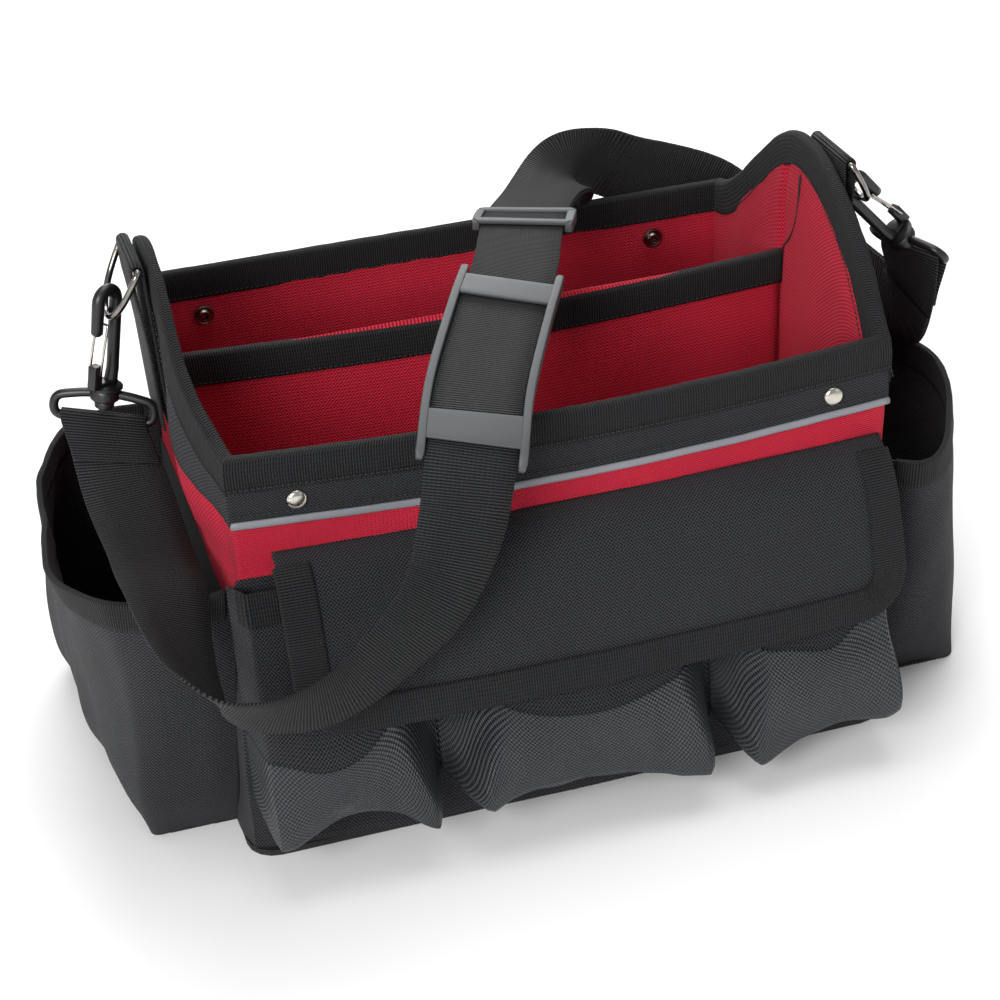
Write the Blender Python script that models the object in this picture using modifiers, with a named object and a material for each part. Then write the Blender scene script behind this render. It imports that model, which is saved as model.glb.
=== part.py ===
# Open top tool tote: a padded fabric tub with gabled ends and a lengthwise divider, three front
# pouches under a flap, an open pocket on each end, and a clip-on shoulder strap.
# Metres. +Z is up, +X to the right, and the front faces -Y. The origin is the middle of the underside.
import math

import bmesh
import bpy
from mathutils import Matrix, Vector

# Driving dimensions of the tub
body_length = 0.400
body_depth = 0.266
wall_height = 0.262
gable_rise = 0.080
wall_thickness = 0.005
base_thickness = 0.004
lining_thickness = 0.0012
divider_thickness = 0.005
divider_y = 0.012
divider_drop = 0.002
divider_sag = 0.007
front_bulge = 0.007
front_sag = 0.005
flare_height = 0.190
left_flare = 0.014
right_flare = 0.001
front_flare = 0.014
back_flare = 0.004
left_lean = 0.014
right_lean = 0.004
base_corner = 0.018

# Cloth, tape and webbing
cloth_thickness = 0.0015
tape_thickness = 0.0011
tape_leg = 0.019
band_height = 0.040
band_thickness = 0.0010
piping_width = 0.0050
piping_thickness = 0.0010
webbing_width = 0.0508
webbing_thickness = 0.0016
fit_gap = 0.0004
edge_drop = 0.0012

# Front pouches and flap
pouch_height = 0.184
pouch_reach = 0.050
pouch_spacing = 0.007
left_valley = -0.094
right_valley = 0.080
flap_left = -0.180
flap_right = 0.196
flap_top = 0.201
flap_bottom = 0.101
flap_reach = 0.045
flap_corner = 0.030

# End pockets
pocket_height = 0.178

# Carrying hardware
ring_wire = 0.0040
ring_drop = 0.038
tab_bottom = 0.236
tab_length = 0.104
left_tab_y = -0.008
right_tab_y = -0.025
left_ring_swing = 28.0
right_ring_swing = 30.0
loop_width = 0.060
loop_height = 0.017
loop_wire = 0.0048
loop_corner = 0.0045
hook_wire = 0.0062
hook_height = 0.066
eye_width = 0.0145
spine_offset = 0.0055
grip_height = 0.048
flange_radius = 0.0105
flange_thickness = 0.0022
boss_radius = 0.0092
boss_height = 0.0072
pin_radius = 0.0040
pin_head_radius = 0.0062
pin_head = 0.0050
swivel_gap = 0.0003
nose_length = 0.0185
block_length = 0.0066
block_width = 0.0064
block_bottom = 0.0012
block_top = 0.0165
gate_pivot = 0.0115
gate_top = 0.0425
gate_wire = 0.0016
stitched_end = 0.030
stud_radius = 0.0058
stud_rise = 0.0022
front_stud_left = -0.161
front_stud_right = 0.163
back_stud_left = -0.173
back_stud_right = 0.154
stud_drop = 0.029

# Slider and shoulder pad on the strap
slider_length = 0.024
slider_keeper = 0.005
slider_inset = 0.003
pad_length = 0.166
pad_keeper = 0.020
pad_inset = 0.012
frame_side = 0.0045
frame_bar = 0.0022
pad_row = 16
pad_shift = 0.028
slider_row = 19
slider_shift = 0.003

# The end panels' top edge, from the front corner to the back one
gable_profile = (
    # share of depth, share of rise
    (0.000, 0.000),
    (0.040, 0.150),
    (0.090, 0.370),
    (0.160, 0.600),
    (0.260, 0.800),
    (0.360, 0.945),
    (0.450, 1.000),
    (0.540, 0.970),
    (0.620, 0.850),
    (0.720, 0.600),
    (0.800, 0.380),
    (0.880, 0.180),
    (0.950, 0.050),
    (1.000, 0.000),
)

# A pouch's cloth from its mouth down the front and back under it to the wall
pouch_section = (
    # share of height, share of reach, share of height that the corners hang, share of width drawn in
    (1.000, 0.30, 0.000, 0.000),
    (0.800, 0.43, 0.000, 0.000),
    (0.600, 0.54, 0.000, 0.000),
    (0.530, 0.64, 0.000, 0.000),
    (0.460, 0.84, 0.010, 0.000),
    (0.360, 0.98, 0.030, 0.000),
    (0.270, 1.00, 0.060, 0.000),
    (0.215, 0.93, 0.080, 0.004),
    (0.205, 0.55, 0.020, 0.030),
    (0.215, 0.00, 0.000, 0.060),
)

# How far a pouch stands from the wall across its width
pouch_plan = (
    # share of width, share of reach
    (0.00, 0.00),
    (0.05, 0.55),
    (0.11, 0.92),
    (0.20, 1.00),
    (0.36, 0.97),
    (0.50, 0.94),
    (0.64, 0.97),
    (0.80, 1.00),
    (0.89, 0.92),
    (0.95, 0.55),
    (1.00, 0.00),
)

# The flap hanging over the pouches, from its seam on the wall to its lower edge
flap_section = (
    # share of drop, share of reach
    (0.00, 0.00),
    (0.06, 0.24),
    (0.15, 0.44),
    (0.32, 0.62),
    (0.52, 0.77),
    (0.76, 0.90),
    (1.00, 1.00),
)

# Rows of the flap, as shares of its drop
flap_rows = (0.0, 0.06, 0.15, 0.32, 0.52, 0.70, 0.85, 0.94, 1.0)

# Plans of the end pockets, from the back seam round to the front one: how far they stand out from
# the panel, as shares of the body's length, and where they lie, as shares of half its depth
left_pocket_plan = (
    # mouth out, mouth along, belly out, belly along, foot out, foot along
    (0.000, 0.90, 0.000, 0.88, 0.000, 0.84),
    (0.090, 0.92, 0.100, 0.90, 0.090, 0.85),
    (0.158, 0.83, 0.200, 0.85, 0.170, 0.80),
    (0.205, 0.50, 0.212, 0.50, 0.168, 0.45),
    (0.236, 0.00, 0.208, 0.00, 0.148, 0.00),
    (0.238, -0.42, 0.192, -0.42, 0.136, -0.42),
    (0.206, -0.80, 0.165, -0.76, 0.128, -0.68),
    (0.150, -0.95, 0.138, -0.88, 0.122, -0.78),
    (0.060, -1.00, 0.060, -0.92, 0.060, -0.79),
    (0.000, -0.97, 0.000, -0.90, 0.000, -0.80),
)
right_pocket_plan = (
    (0.000, 0.90, 0.000, 0.88, 0.000, 0.84),
    (0.090, 0.86, 0.090, 0.86, 0.080, 0.82),
    (0.158, 0.62, 0.165, 0.66, 0.160, 0.70),
    (0.205, 0.26, 0.205, 0.30, 0.190, 0.34),
    (0.240, -0.02, 0.225, 0.00, 0.200, 0.00),
    (0.230, -0.28, 0.222, -0.32, 0.190, -0.36),
    (0.180, -0.62, 0.195, -0.62, 0.180, -0.62),
    (0.118, -0.93, 0.140, -0.86, 0.166, -0.75),
    (0.058, -1.08, 0.070, -0.94, 0.080, -0.75),
    (0.004, -0.97, 0.000, -0.90, 0.000, -0.76),
)

# Levels of the end pockets from the mouth down
pocket_levels = (
    # share of height, share of belly plan, share of foot plan
    (1.00, 0.0, 0.0),
    (0.87, 0.255, 0.0),
    (0.72, 0.55, 0.0),
    (0.42, 1.0, 0.0),
    (0.16, 0.75, 0.25),
    (0.00, 0.0, 1.0),
)

# The strap's middle line from the left hook to the right one: shares of half the body's length, of
# half its depth and of the wall's height, then the direction of its width in degrees, turned from
# +X towards +Y and dipped below the level
strap_route = (
    # across, along, up, turn, dip
    (-1.222, -0.290, 0.812, -14, 2),
    (-1.215, -0.510, 0.750, 15, 9),
    (-1.215, -0.740, 0.729, 20, 12),
    (-1.215, -1.000, 0.725, 24, 14),
    (-1.215, -1.290, 0.676, 32, 30),
    (-1.198, -1.470, 0.640, 52, 34),
    (-1.165, -1.590, 0.615, 74, 40),
    (-1.095, -1.640, 0.586, 81, 49),
    (-1.000, -1.650, 0.566, 76, 55),
    (-0.890, -1.645, 0.566, 58, 58),
    (-0.780, -1.625, 0.590, 40, 52),
    (-0.675, -1.610, 0.642, 25, 42),
    (-0.565, -1.590, 0.710, 16, 35),
    (-0.480, -1.550, 0.790, 8, 27),
    (-0.415, -1.500, 0.905, -4, 15),
    (-0.360, -1.390, 1.024, -12, 6),
    (-0.270, -1.090, 1.095, -14, 4),
    (-0.115, -0.640, 1.148, -10, 4),
    (0.005, -0.290, 1.170, -4, 4),
    (0.125, 0.150, 1.172, 0, 2),
    (0.285, 0.590, 1.140, 18, 5),
    (0.455, 0.965, 1.108, 46, 24),
    (0.620, 1.215, 1.062, 62, 58),
    (0.800, 1.285, 0.990, 30, 80),
    (1.000, 1.300, 0.925, 0, 86),
    (1.130, 1.210, 0.872, -35, 84),
    (1.240, 0.960, 0.845, -62, 76),
    (1.325, 0.610, 0.825, -70, 74),
    (1.375, 0.300, 0.800, -74, 70),
    (1.400, 0.050, 0.790, -76, 52),
)

# The hooks: where the shank points, and the turn of the hook about it
left_shank = Vector((0.17, 0.0, 0.985)).normalized()
right_shank = Vector((-0.66, -0.20, 0.72)).normalized()
left_hook_turn = 37.0
right_hook_turn = 205.0
left_loop_turn = -17.0
right_loop_turn = -64.0


def clear_scene():
    for item in list(bpy.data.objects):
        bpy.data.objects.remove(item, do_unlink=True)


def new_collection(name):
    made = bpy.data.collections.new(name)
    bpy.context.scene.collection.children.link(made)
    return made


clear_scene()
tote = new_collection("open top tool tote")
cutters = new_collection("cutters")


def finish(name, color, roughness, metallic=0.0):
    material = bpy.data.materials.new(name)
    material.use_nodes = True
    shader = material.node_tree.nodes["Principled BSDF"]
    shader.inputs["Base Color"].default_value = (*color, 1.0)
    shader.inputs["Roughness"].default_value = roughness
    shader.inputs["Metallic"].default_value = metallic
    return material


red_oxford = finish("red oxford", (0.48, 0.012, 0.030), 0.75)
red_lining = finish("red lining", (0.34, 0.008, 0.022), 0.78)
black_oxford = finish("black oxford", (0.022, 0.023, 0.026), 0.72)
black_tape = finish("black tape", (0.016, 0.016, 0.017), 0.80)
black_webbing = finish("black webbing", (0.018, 0.018, 0.018), 0.70)
coated_cloth = finish("coated cloth", (0.040, 0.043, 0.047), 0.45)
reflective = finish("reflective piping", (0.20, 0.20, 0.21), 0.40)
black_plastic = finish("black moulded plastic", (0.014, 0.014, 0.015), 0.42)
grey_plastic = finish("grey moulded plastic", (0.045, 0.046, 0.048), 0.50)
nickel = finish("nickel plate", (0.62, 0.60, 0.57), 0.22, 1.0)
gunmetal = finish("gunmetal plate", (0.10, 0.09, 0.09), 0.30, 1.0)


def mix(a, b, t):
    return a + (b - a) * t


def along(table, x, column=1):
    """Read a column of a table at x on a smooth curve through its rows."""
    last = len(table) - 1
    at = 0
    while at < last - 1 and x > table[at + 1][0]:
        at += 1
    left, right = table[at], table[at + 1]
    before, after = table[max(at - 1, 0)], table[min(at + 2, last)]
    width = right[0] - left[0]
    t = min(max((x - left[0]) / width, 0.0), 1.0)
    slope_in = (right[column] - before[column]) / max(right[0] - before[0], 1e-9) * width
    slope_out = (after[column] - left[column]) / max(after[0] - left[0], 1e-9) * width
    cubic = (2 * t ** 3 - 3 * t ** 2 + 1) * left[column] + (t ** 3 - 2 * t ** 2 + t) * slope_in
    return cubic + (3 * t ** 2 - 2 * t ** 3) * right[column] + (t ** 3 - t ** 2) * slope_out


def shares(count):
    return [i / count for i in range(count + 1)]


def add_object(name, mesh, material, collection=tote):
    made = bpy.data.objects.new(name, mesh)
    collection.objects.link(made)
    mesh.materials.append(material)
    return made


def as_cutter(item):
    tote.objects.unlink(item)
    cutters.objects.link(item)
    item.hide_render = True
    item.display_type = "WIRE"
    return item


def mesh_from(bm, name):
    mesh = bpy.data.meshes.new(name)
    bm.to_mesh(mesh)
    bm.free()
    return mesh


def sheet(name, rows, thickness, material, around=False, side=-1.0, floor=False):
    """Cloth through rows of points, bottom row first and each row anticlockwise seen from above."""
    bm = bmesh.new()
    grid = [[bm.verts.new(point) for point in row] for row in rows]
    count = len(rows[0])
    for lower, upper in zip(grid, grid[1:]):
        for i in range(count if around else count - 1):
            j = (i + 1) % count
            bm.faces.new((lower[i], lower[j], upper[j], upper[i]))
    if floor:
        bm.faces.new(tuple(reversed(grid[0])))
    made = add_object(name, mesh_from(bm, name), material)
    solid = made.modifiers.new("cloth thickness", "SOLIDIFY")
    solid.thickness = thickness
    solid.offset = side
    solid.use_even_offset = True
    return made


def loft(name, sections, material, ring=False):
    """A closed solid through sections of the same number of points."""
    bm = bmesh.new()
    rings = [[bm.verts.new(point) for point in section] for section in sections]
    count = len(sections[0])
    pairs = list(zip(rings, rings[1:]))
    if ring:
        pairs.append((rings[-1], rings[0]))
    for first, second in pairs:
        for i in range(count):
            j = (i + 1) % count
            bm.faces.new((first[i], first[j], second[j], second[i]))
    if not ring:
        bm.faces.new(tuple(reversed(rings[0])))
        bm.faces.new(tuple(rings[-1]))
    bmesh.ops.recalc_face_normals(bm, faces=bm.faces)
    return add_object(name, mesh_from(bm, name), material)


def panel(name, outer, inner, material):
    """A closed panel between two grids of points, rows from the bottom, its outer face towards the first."""
    bm = bmesh.new()
    faces = [[[bm.verts.new(point) for point in row] for row in grid] for grid in (outer, inner)]
    rows, count = len(outer), len(outer[0])
    for grid, flip in zip(faces, (False, True)):
        for lower, upper in zip(grid, grid[1:]):
            for i in range(count - 1):
                corners = (lower[i], lower[i + 1], upper[i + 1], upper[i])
                bm.faces.new(corners[::-1] if flip else corners)
    rim = [(0, i) for i in range(count)] + [(j, count - 1) for j in range(1, rows)]
    rim += [(rows - 1, i) for i in range(count - 2, -1, -1)] + [(j, 0) for j in range(rows - 2, 0, -1)]
    for (a, b), (c, d) in zip(rim, rim[1:] + rim[:1]):
        bm.faces.new((faces[0][a][b], faces[1][a][b], faces[1][c][d], faces[0][c][d]))
    bmesh.ops.recalc_face_normals(bm, faces=bm.faces)
    return add_object(name, mesh_from(bm, name), material)


def binding(name, edge, stations, outside, inside, material, leg=tape_leg, ring=False):
    """Tape folded over an edge. edge(station, drop, out) gives a point of the bound cloth."""
    sections = []
    for at in stations:
        outline = (
            (leg, outside),
            (leg, outside + tape_thickness),
            (-fit_gap - tape_thickness, outside + tape_thickness),
            (-fit_gap - tape_thickness, -inside - tape_thickness),
            (leg, -inside - tape_thickness),
            (leg, -inside),
            (-fit_gap, -inside),
            (-fit_gap, outside),
        )
        sections.append([edge(at, drop, out) for drop, out in outline])
    return loft(name, sections, material, ring=ring)


def wire(name, points, diameter, material, cyclic=False, sides=2):
    curve = bpy.data.curves.new(name, "CURVE")
    curve.dimensions = "3D"
    curve.bevel_depth = diameter / 2
    curve.bevel_resolution = sides
    curve.use_fill_caps = not cyclic
    spline = curve.splines.new("POLY")
    spline.points.add(len(points) - 1)
    for slot, point in zip(spline.points, points):
        slot.co = (*point, 1.0)
    spline.use_cyclic_u = cyclic
    curve.materials.append(material)
    made = bpy.data.objects.new(name, curve)
    tote.objects.link(made)
    return made


def box(name, size, material):
    bm = bmesh.new()
    bmesh.ops.create_cube(bm, size=1.0, matrix=Matrix.Diagonal((*size, 1.0)))
    return add_object(name, mesh_from(bm, name), material)


def curve_to_mesh(item):
    """Replace a curve object by its mesh, with the caps welded on."""
    depsgraph = bpy.context.evaluated_depsgraph_get()
    mesh = bpy.data.meshes.new_from_object(item.evaluated_get(depsgraph))
    bm = bmesh.new()
    bm.from_mesh(mesh)
    bmesh.ops.remove_doubles(bm, verts=bm.verts, dist=1e-6)
    bm.to_mesh(mesh)
    bm.free()
    name, place, material = item.name, item.matrix_world.copy(), item.data.materials[0]
    bpy.data.objects.remove(item, do_unlink=True)
    mesh.materials.clear()
    made = add_object(name, mesh, material)
    made.matrix_world = place
    return made


def boolean(item, other, operation):
    cut = item.modifiers.new(operation.lower(), "BOOLEAN")
    cut.operation = operation
    cut.solver = "EXACT"
    cut.object = as_cutter(other)
    return item


def drum(name, radius, low, high, material, segments=24, lip=0.0):
    """A turned disc or pin on the Z axis, with its upper edge rounded by lip."""
    profile = [(0.0, high), (radius - lip, high)]
    if lip:
        profile.append((radius - 0.3 * lip, high - 0.3 * lip))
        profile.append((radius, high - lip))
    profile += [(radius, low), (0.0, low)]
    return turned(name, profile, material, segments)


def turned(name, profile, material, segments=24):
    bm = bmesh.new()
    line = [bm.verts.new((radius, 0.0, height)) for radius, height in profile]
    for first, second in zip(line, line[1:]):
        bm.edges.new((first, second))
    made = add_object(name, mesh_from(bm, name), material)
    screw = made.modifiers.new("turn", "SCREW")
    screw.steps = segments
    screw.render_steps = segments
    screw.use_merge_vertices = True
    screw.merge_threshold = 1e-6
    return made


# The tub's form


def side_lines(z, inset):
    """The left, right, front and back lines of the tub at height z."""
    low = max(1 - z / flare_height, 0.0)
    left = -body_length / 2 - left_flare * low + inset
    right = body_length / 2 + right_flare * low - inset
    front = -body_depth / 2 - front_flare * low + inset
    back = body_depth / 2 + back_flare * low - inset
    return left, right, front, back


def body_point(side, share, z, inset=0.0):
    """A point of one side: share runs left to right, or front to back on the ends."""
    left, right, front, back = side_lines(z, inset)
    swell = max(math.sin(math.pi * share), 0.0)
    if side == "front":
        return Vector((mix(left, right, share), front - front_bulge * swell, z))
    if side == "back":
        return Vector((mix(left, right, share), back, z))
    tall = max(z - flare_height, 0.0) / (wall_height + gable_rise - flare_height) * swell ** 1.5
    if side == "left":
        return Vector((left - left_lean * tall, mix(front, back, share), z))
    return Vector((right + right_lean * tall, mix(front, back, share), z))


def gable_share(share):
    """The gable's share of its rise, straight between the rows of its profile."""
    at = max(i for i, row in enumerate(gable_profile[:-1]) if row[0] <= share)
    left, right = gable_profile[at], gable_profile[at + 1]
    return mix(left[1], right[1], (share - left[0]) / (right[0] - left[0]))


def rim_height(side, share):
    if side == "front":
        return wall_height - front_sag * math.sin(math.pi * share)
    if side == "back":
        return wall_height
    return wall_height + gable_rise * gable_share(share)


def rim_stretch(side, share):
    """How much taller a strip along the rim is, measured upright, where the rim slopes."""
    if side in ("front", "back") or share <= 0.0 or share >= 1.0:
        return 1.0
    step = 0.01
    rise = rim_height(side, min(share + step, 1.0)) - rim_height(side, max(share - step, 0.0))
    run = (min(share + step, 1.0) - max(share - step, 0.0)) * body_depth
    return math.sqrt(1 + (rise / run) ** 2)


def rim_point(station, drop, out):
    side, share = station
    z = rim_height(side, share) - drop * rim_stretch(side, share)
    return body_point(side, share, z, -out)


def rim_stations():
    """Round the rim, anticlockwise seen from above, from the front left corner."""
    long_shares = shares(8)[:-1]
    gable_shares = [row[0] for row in gable_profile]
    stations = [("front", share) for share in long_shares]
    stations += [("right", share) for share in gable_shares[:-1]]
    stations += [("back", 1 - share) for share in long_shares]
    stations += [("left", share) for share in reversed(gable_shares[1:])]
    return stations


ring_stations = rim_stations()
floor_height = base_thickness + fit_gap


def make_base():
    """The stiffened bottom, with rounded corners."""
    left, right, front, back = side_lines(0.0, 0.0)
    front -= front_bulge / 2
    corners = ((left, front, 180), (right, front, 270), (right, back, 0), (left, back, 90))
    outline = []
    for x, y, start in corners:
        inward = Vector((-math.copysign(base_corner, x), -math.copysign(base_corner, y)))
        centre = Vector((x, y)) + inward
        for i in range(5):
            angle = math.radians(start + 90 * i / 4)
            outline.append(centre + base_corner * Vector((math.cos(angle), math.sin(angle))))
    curve = bpy.data.curves.new("base", "CURVE")
    curve.dimensions = "2D"
    curve.fill_mode = "BOTH"
    curve.extrude = base_thickness / 2
    spline = curve.splines.new("POLY")
    spline.points.add(len(outline) - 1)
    for slot, point in zip(spline.points, outline):
        slot.co = (point.x, point.y, 0.0, 1.0)
    spline.use_cyclic_u = True
    curve.materials.append(black_oxford)
    made = bpy.data.objects.new("base", curve)
    made.location.z = base_thickness / 2
    tote.objects.link(made)
    bpy.context.view_layer.update()
    return curve_to_mesh(made)


def wall_rows(stations, foot, top_drop, inset=0.0):
    """Rows of a side from foot to the rim, with one where the flare ends."""
    rows = [[body_point(side, share, foot, inset) for side, share in stations]]
    for up in (0.0, 0.5, 1.0):
        row = []
        for side, share in stations:
            z = mix(flare_height, rim_height(side, share) - top_drop, up)
            row.append(body_point(side, share, z, inset))
        rows.append(row)
    return rows


def make_walls():
    """Four padded panels: the ends stand between the front and the back."""
    for side in ("front", "back"):
        across = shares(8) if side == "front" else shares(8)[::-1]
        rows = wall_rows([(side, share) for share in across], floor_height, edge_drop)
        sheet(side + "_wall", rows, wall_thickness, red_oxford)
    margin = (wall_thickness + 2 * fit_gap) / body_depth
    for side in ("left", "right"):
        across = [margin] + [row[0] for row in gable_profile[1:-1]] + [1 - margin]
        stations = [(side, share) for share in across]
        outer = wall_rows(stations, floor_height, edge_drop)
        inner = wall_rows(stations, floor_height, edge_drop, wall_thickness)
        panel(side + "_end_wall", outer, inner, red_oxford)


def make_lining():
    inset = wall_thickness + 2 * fit_gap
    rows = wall_rows(ring_stations, floor_height, edge_drop, inset)
    sheet("lining", rows, lining_thickness, red_lining, around=True, floor=True)


band_out = 2 * fit_gap + band_thickness


def make_rim_trim():
    """The black band round the top, the folded tape on the edge and the piping on the front."""
    rows = [[rim_point(at, drop, band_out) for at in ring_stations] for drop in (band_height, edge_drop)]
    sheet("top_band", rows, band_thickness, black_oxford, around=True)
    inside = wall_thickness + 2 * fit_gap + lining_thickness + fit_gap
    binding("rim_binding", rim_point, ring_stations, band_out + fit_gap, inside, black_tape, ring=True)
    outside = band_out + fit_gap + piping_thickness
    rows = []
    for drop in (band_height + piping_width / 2, band_height - piping_width / 2):
        rows.append([rim_point(("front", share), drop, outside) for share in shares(8)])
    sheet("reflective_piping", rows, piping_thickness, reflective)


def divider_point(share, drop, out):
    """A point of the divider, drop below its top edge."""
    top = wall_height - divider_drop - divider_sag * math.sin(math.pi * share)
    z = top - drop
    inset = wall_thickness + lining_thickness + 5 * fit_gap
    front, back = side_lines(z, 0.0)[2:]
    depth_share = (divider_y - front) / (back - front)
    left = body_point("left", depth_share, z, inset)
    right = body_point("right", depth_share, z, inset)
    return Vector((mix(left.x, right.x, share), divider_y - out, z))


def make_divider():
    across = shares(8)
    foot = floor_height + lining_thickness + 2 * fit_gap
    rows = []
    for level in (foot, flare_height, None):
        row = []
        for share in across:
            top = divider_point(share, 0.0, 0.0).z
            row.append(divider_point(share, top - level if level else 0.0, 0.0))
        rows.append(row)
    sheet("divider", rows, divider_thickness, red_lining, side=0.0)
    half = divider_thickness / 2 + fit_gap
    binding("divider_binding", divider_point, across, half, half, black_tape)


# Front pouches and flap

# The outer face of the cloth at its seam stands this far from the wall, so that its inner face clears it
seam_gap = fit_gap + 0.6 * cloth_thickness


def wall_share(x, z):
    left, right = side_lines(z, 0.0)[:2]
    return (x - left) / (right - left)


def pouch_point(span, share, row):
    """A point of a pouch's cloth. span holds its left and right seams."""
    height, reach, hang, drawn = row
    left, right = span
    plan = along(pouch_plan, share)
    corner = abs(2 * share - 1) ** 6
    x = mix(mix(left, right, drawn), mix(right, left, drawn), share)
    z = pouch_height * (height - hang * corner * min(plan * 2.5, 1.0))
    y = body_point("front", wall_share(x, z), z).y - seam_gap
    return Vector((x, y - pouch_reach * reach * plan, z))


def surface_edge(point, station, drop, out):
    """A point of a bound edge on a sheet given by point(station, drop)."""
    step = 0.004
    base = point(station, max(drop, 0.0))
    along_edge = point(station + step, max(drop, 0.0)) - point(station - step, max(drop, 0.0))
    down = point(station, max(drop, 0.0) + step) - base
    normal = down.cross(along_edge).normalized()
    return base + normal * out + down.normalized() * min(drop, 0.0)


def pouch_row_at(drop):
    """The pouch's section at a drop below its mouth, on the straight upper part."""
    upper, lower = pouch_section[0], pouch_section[1]
    t = drop / (pouch_height * (upper[0] - lower[0]))
    return tuple(mix(a, b, t) for a, b in zip(upper, lower))


def make_pouches():
    half = pouch_spacing / 2
    left, right = side_lines(pouch_height / 2, 0.0)[:2]
    spans = (
        ("left", (left + half / 2, left_valley - half)),
        ("middle", (left_valley + half, right_valley - half)),
        ("right", (right_valley + half, right - half)),
    )
    across = [row[0] for row in pouch_plan]
    for label, span in spans:
        rows = [[pouch_point(span, share, row) for share in across] for row in reversed(pouch_section)]
        sheet("front_pouch_" + label, rows, cloth_thickness, coated_cloth)

        def mouth(station, drop, out, span=span):
            def point(share, fall):
                return pouch_point(span, min(max(share, 0.0), 1.0), pouch_row_at(fall))
            return surface_edge(point, station, drop, out)

        binding("pouch_binding_" + label, mouth, across[1:-1], 2 * fit_gap, cloth_thickness + 2 * fit_gap, black_tape)


def flap_point(x, drop, out=0.0):
    """A point of the flap, drop below its seam and out from its face."""
    fall = flap_top - flap_bottom
    down = min(max(drop / fall, 0.0), 1.0)
    wall = body_point("front", wall_share(x, flap_top), flap_top).y
    y = wall - seam_gap - flap_reach * along(flap_section, down)
    step = 0.02
    lean = along(flap_section, min(down + step, 1.0)) - along(flap_section, max(down - step, 0.0))
    lean *= flap_reach / (fall * (min(down + step, 1.0) - max(down - step, 0.0)))
    return Vector((x, y, flap_top - drop)) + Vector((0, -1, lean)).normalized() * out


def make_flap():
    """The flap and the tape round its two sides and its lower edge."""
    fall = flap_top - flap_bottom
    edge, rows = [], []
    for down in flap_rows:
        over = max(fall * (down - 1) + flap_corner, 0.0)
        corner = flap_corner - math.sqrt(flap_corner ** 2 - over ** 2)
        edge.append(Vector((flap_left + corner, fall * down)))
        span = (flap_left + corner, flap_right - corner)
        rows.append([flap_point(mix(*span, share), fall * down) for share in shares(10)])
    rows.reverse()
    sheet("front_flap", rows, cloth_thickness, black_oxford)
    bottom = [Vector((mix(flap_left + flap_corner, flap_right - flap_corner, t), fall)) for t in shares(10)]
    other = [Vector((flap_left + flap_right - place.x, place.y)) for place in reversed(edge)]
    line = edge[2:-1] + bottom + other[1:-2]

    def hem(at, drop, out):
        ahead, behind = line[min(at + 1, len(line) - 1)], line[max(at - 1, 0)]
        run = (ahead - behind).normalized()
        place = line[at] + Vector((run.y, -run.x)) * drop
        return flap_point(place.x, place.y, out)

    binding("flap_binding", hem, range(len(line)), fit_gap, cloth_thickness + fit_gap, black_tape)


# End pockets


def pocket_wall(side, y, z):
    front, back = side_lines(z, 0.0)[2:]
    share = min(max((y - front) / (back - front), 0.0), 1.0)
    return body_point(side, share, z).x


def pocket_point(side, out, part, z):
    """A point that stands out from an end panel, part along half the body's depth."""
    sign = -1 if side == "left" else 1
    y = part * body_depth / 2
    return Vector((pocket_wall(side, y, z) + sign * (fit_gap + body_length * out), y, z))


def pocket_cloth(side, plan, at, height, belly, foot):
    """A point of an end pocket: at counts rows of the plan, the rest are shares."""
    values = [along([(i, *row) for i, row in enumerate(plan)], at, column + 1) for column in range(6)]
    mouth = 1 - belly - foot
    out = values[0] * mouth + values[2] * belly + values[4] * foot
    part = values[1] * mouth + values[3] * belly + values[5] * foot
    return pocket_point(side, max(out, 0.0), part, pocket_height * height)


def make_end_pockets():
    for side, plan in (("left", left_pocket_plan), ("right", right_pocket_plan)):
        stations = [i / 2 for i in range(2 * len(plan) - 1)]
        rows = []
        for height, belly, foot in pocket_levels:
            rows.append([pocket_cloth(side, plan, at, height, belly, foot) for at in stations])
        rows.reverse()
        if side == "right":
            rows = [row[::-1] for row in rows]
        sheet(side + "_pocket", rows, cloth_thickness, black_oxford, floor=True)

        def mouth(station, drop, out, side=side, plan=plan):
            def point(at, fall):
                upper, lower = pocket_levels[0], pocket_levels[1]
                t = fall / (pocket_height * (upper[0] - lower[0]))
                return pocket_cloth(side, plan, at, *(mix(a, b, t) for a, b in zip(upper, lower)))
            return surface_edge(point, station, drop, out if side == "left" else -out)

        inside = cloth_thickness + 4 * fit_gap
        binding(side + "_pocket_binding", mouth, stations[1:-2], 3 * fit_gap, inside, black_tape)


# Straps and hardware


def frame_from(origin, up, turn):
    """Axes with Z along up, and X turned by degrees about it from the direction nearest +X."""
    z = up.normalized()
    x = (Vector((1, 0, 0)) - z * z.x).normalized()
    x = Matrix.Rotation(math.radians(turn), 3, z) @ x
    y = z.cross(x)
    placed = Matrix((x, y, z)).transposed().to_4x4()
    placed.translation = origin
    return placed


clear_of_rim = band_out + 2 * fit_gap + tape_thickness
fold_radius = ring_wire / 2 + fit_gap + webbing_thickness / 2


def tab_line(side, y):
    """Where a tab's fold holds the ring's bar, and the downward direction of the panel there."""
    sign = -1 if side == "left" else 1
    top_z = tab_bottom + tab_length
    out = clear_of_rim + webbing_thickness + fold_radius
    top = Vector((pocket_wall(side, y, top_z) + sign * out, y, top_z))
    bottom = Vector((pocket_wall(side, y, tab_bottom) + sign * out, y, tab_bottom))
    return top, bottom


def ribbon(name, line, width_vectors, material):
    """Webbing through the points of its middle line, each with the vector of its width."""
    rows = []
    for point, across in zip(line, width_vectors):
        rows.append([point - across / 2, point + across / 2])
    return sheet(name, rows, webbing_thickness, material, side=0.0)


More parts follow.
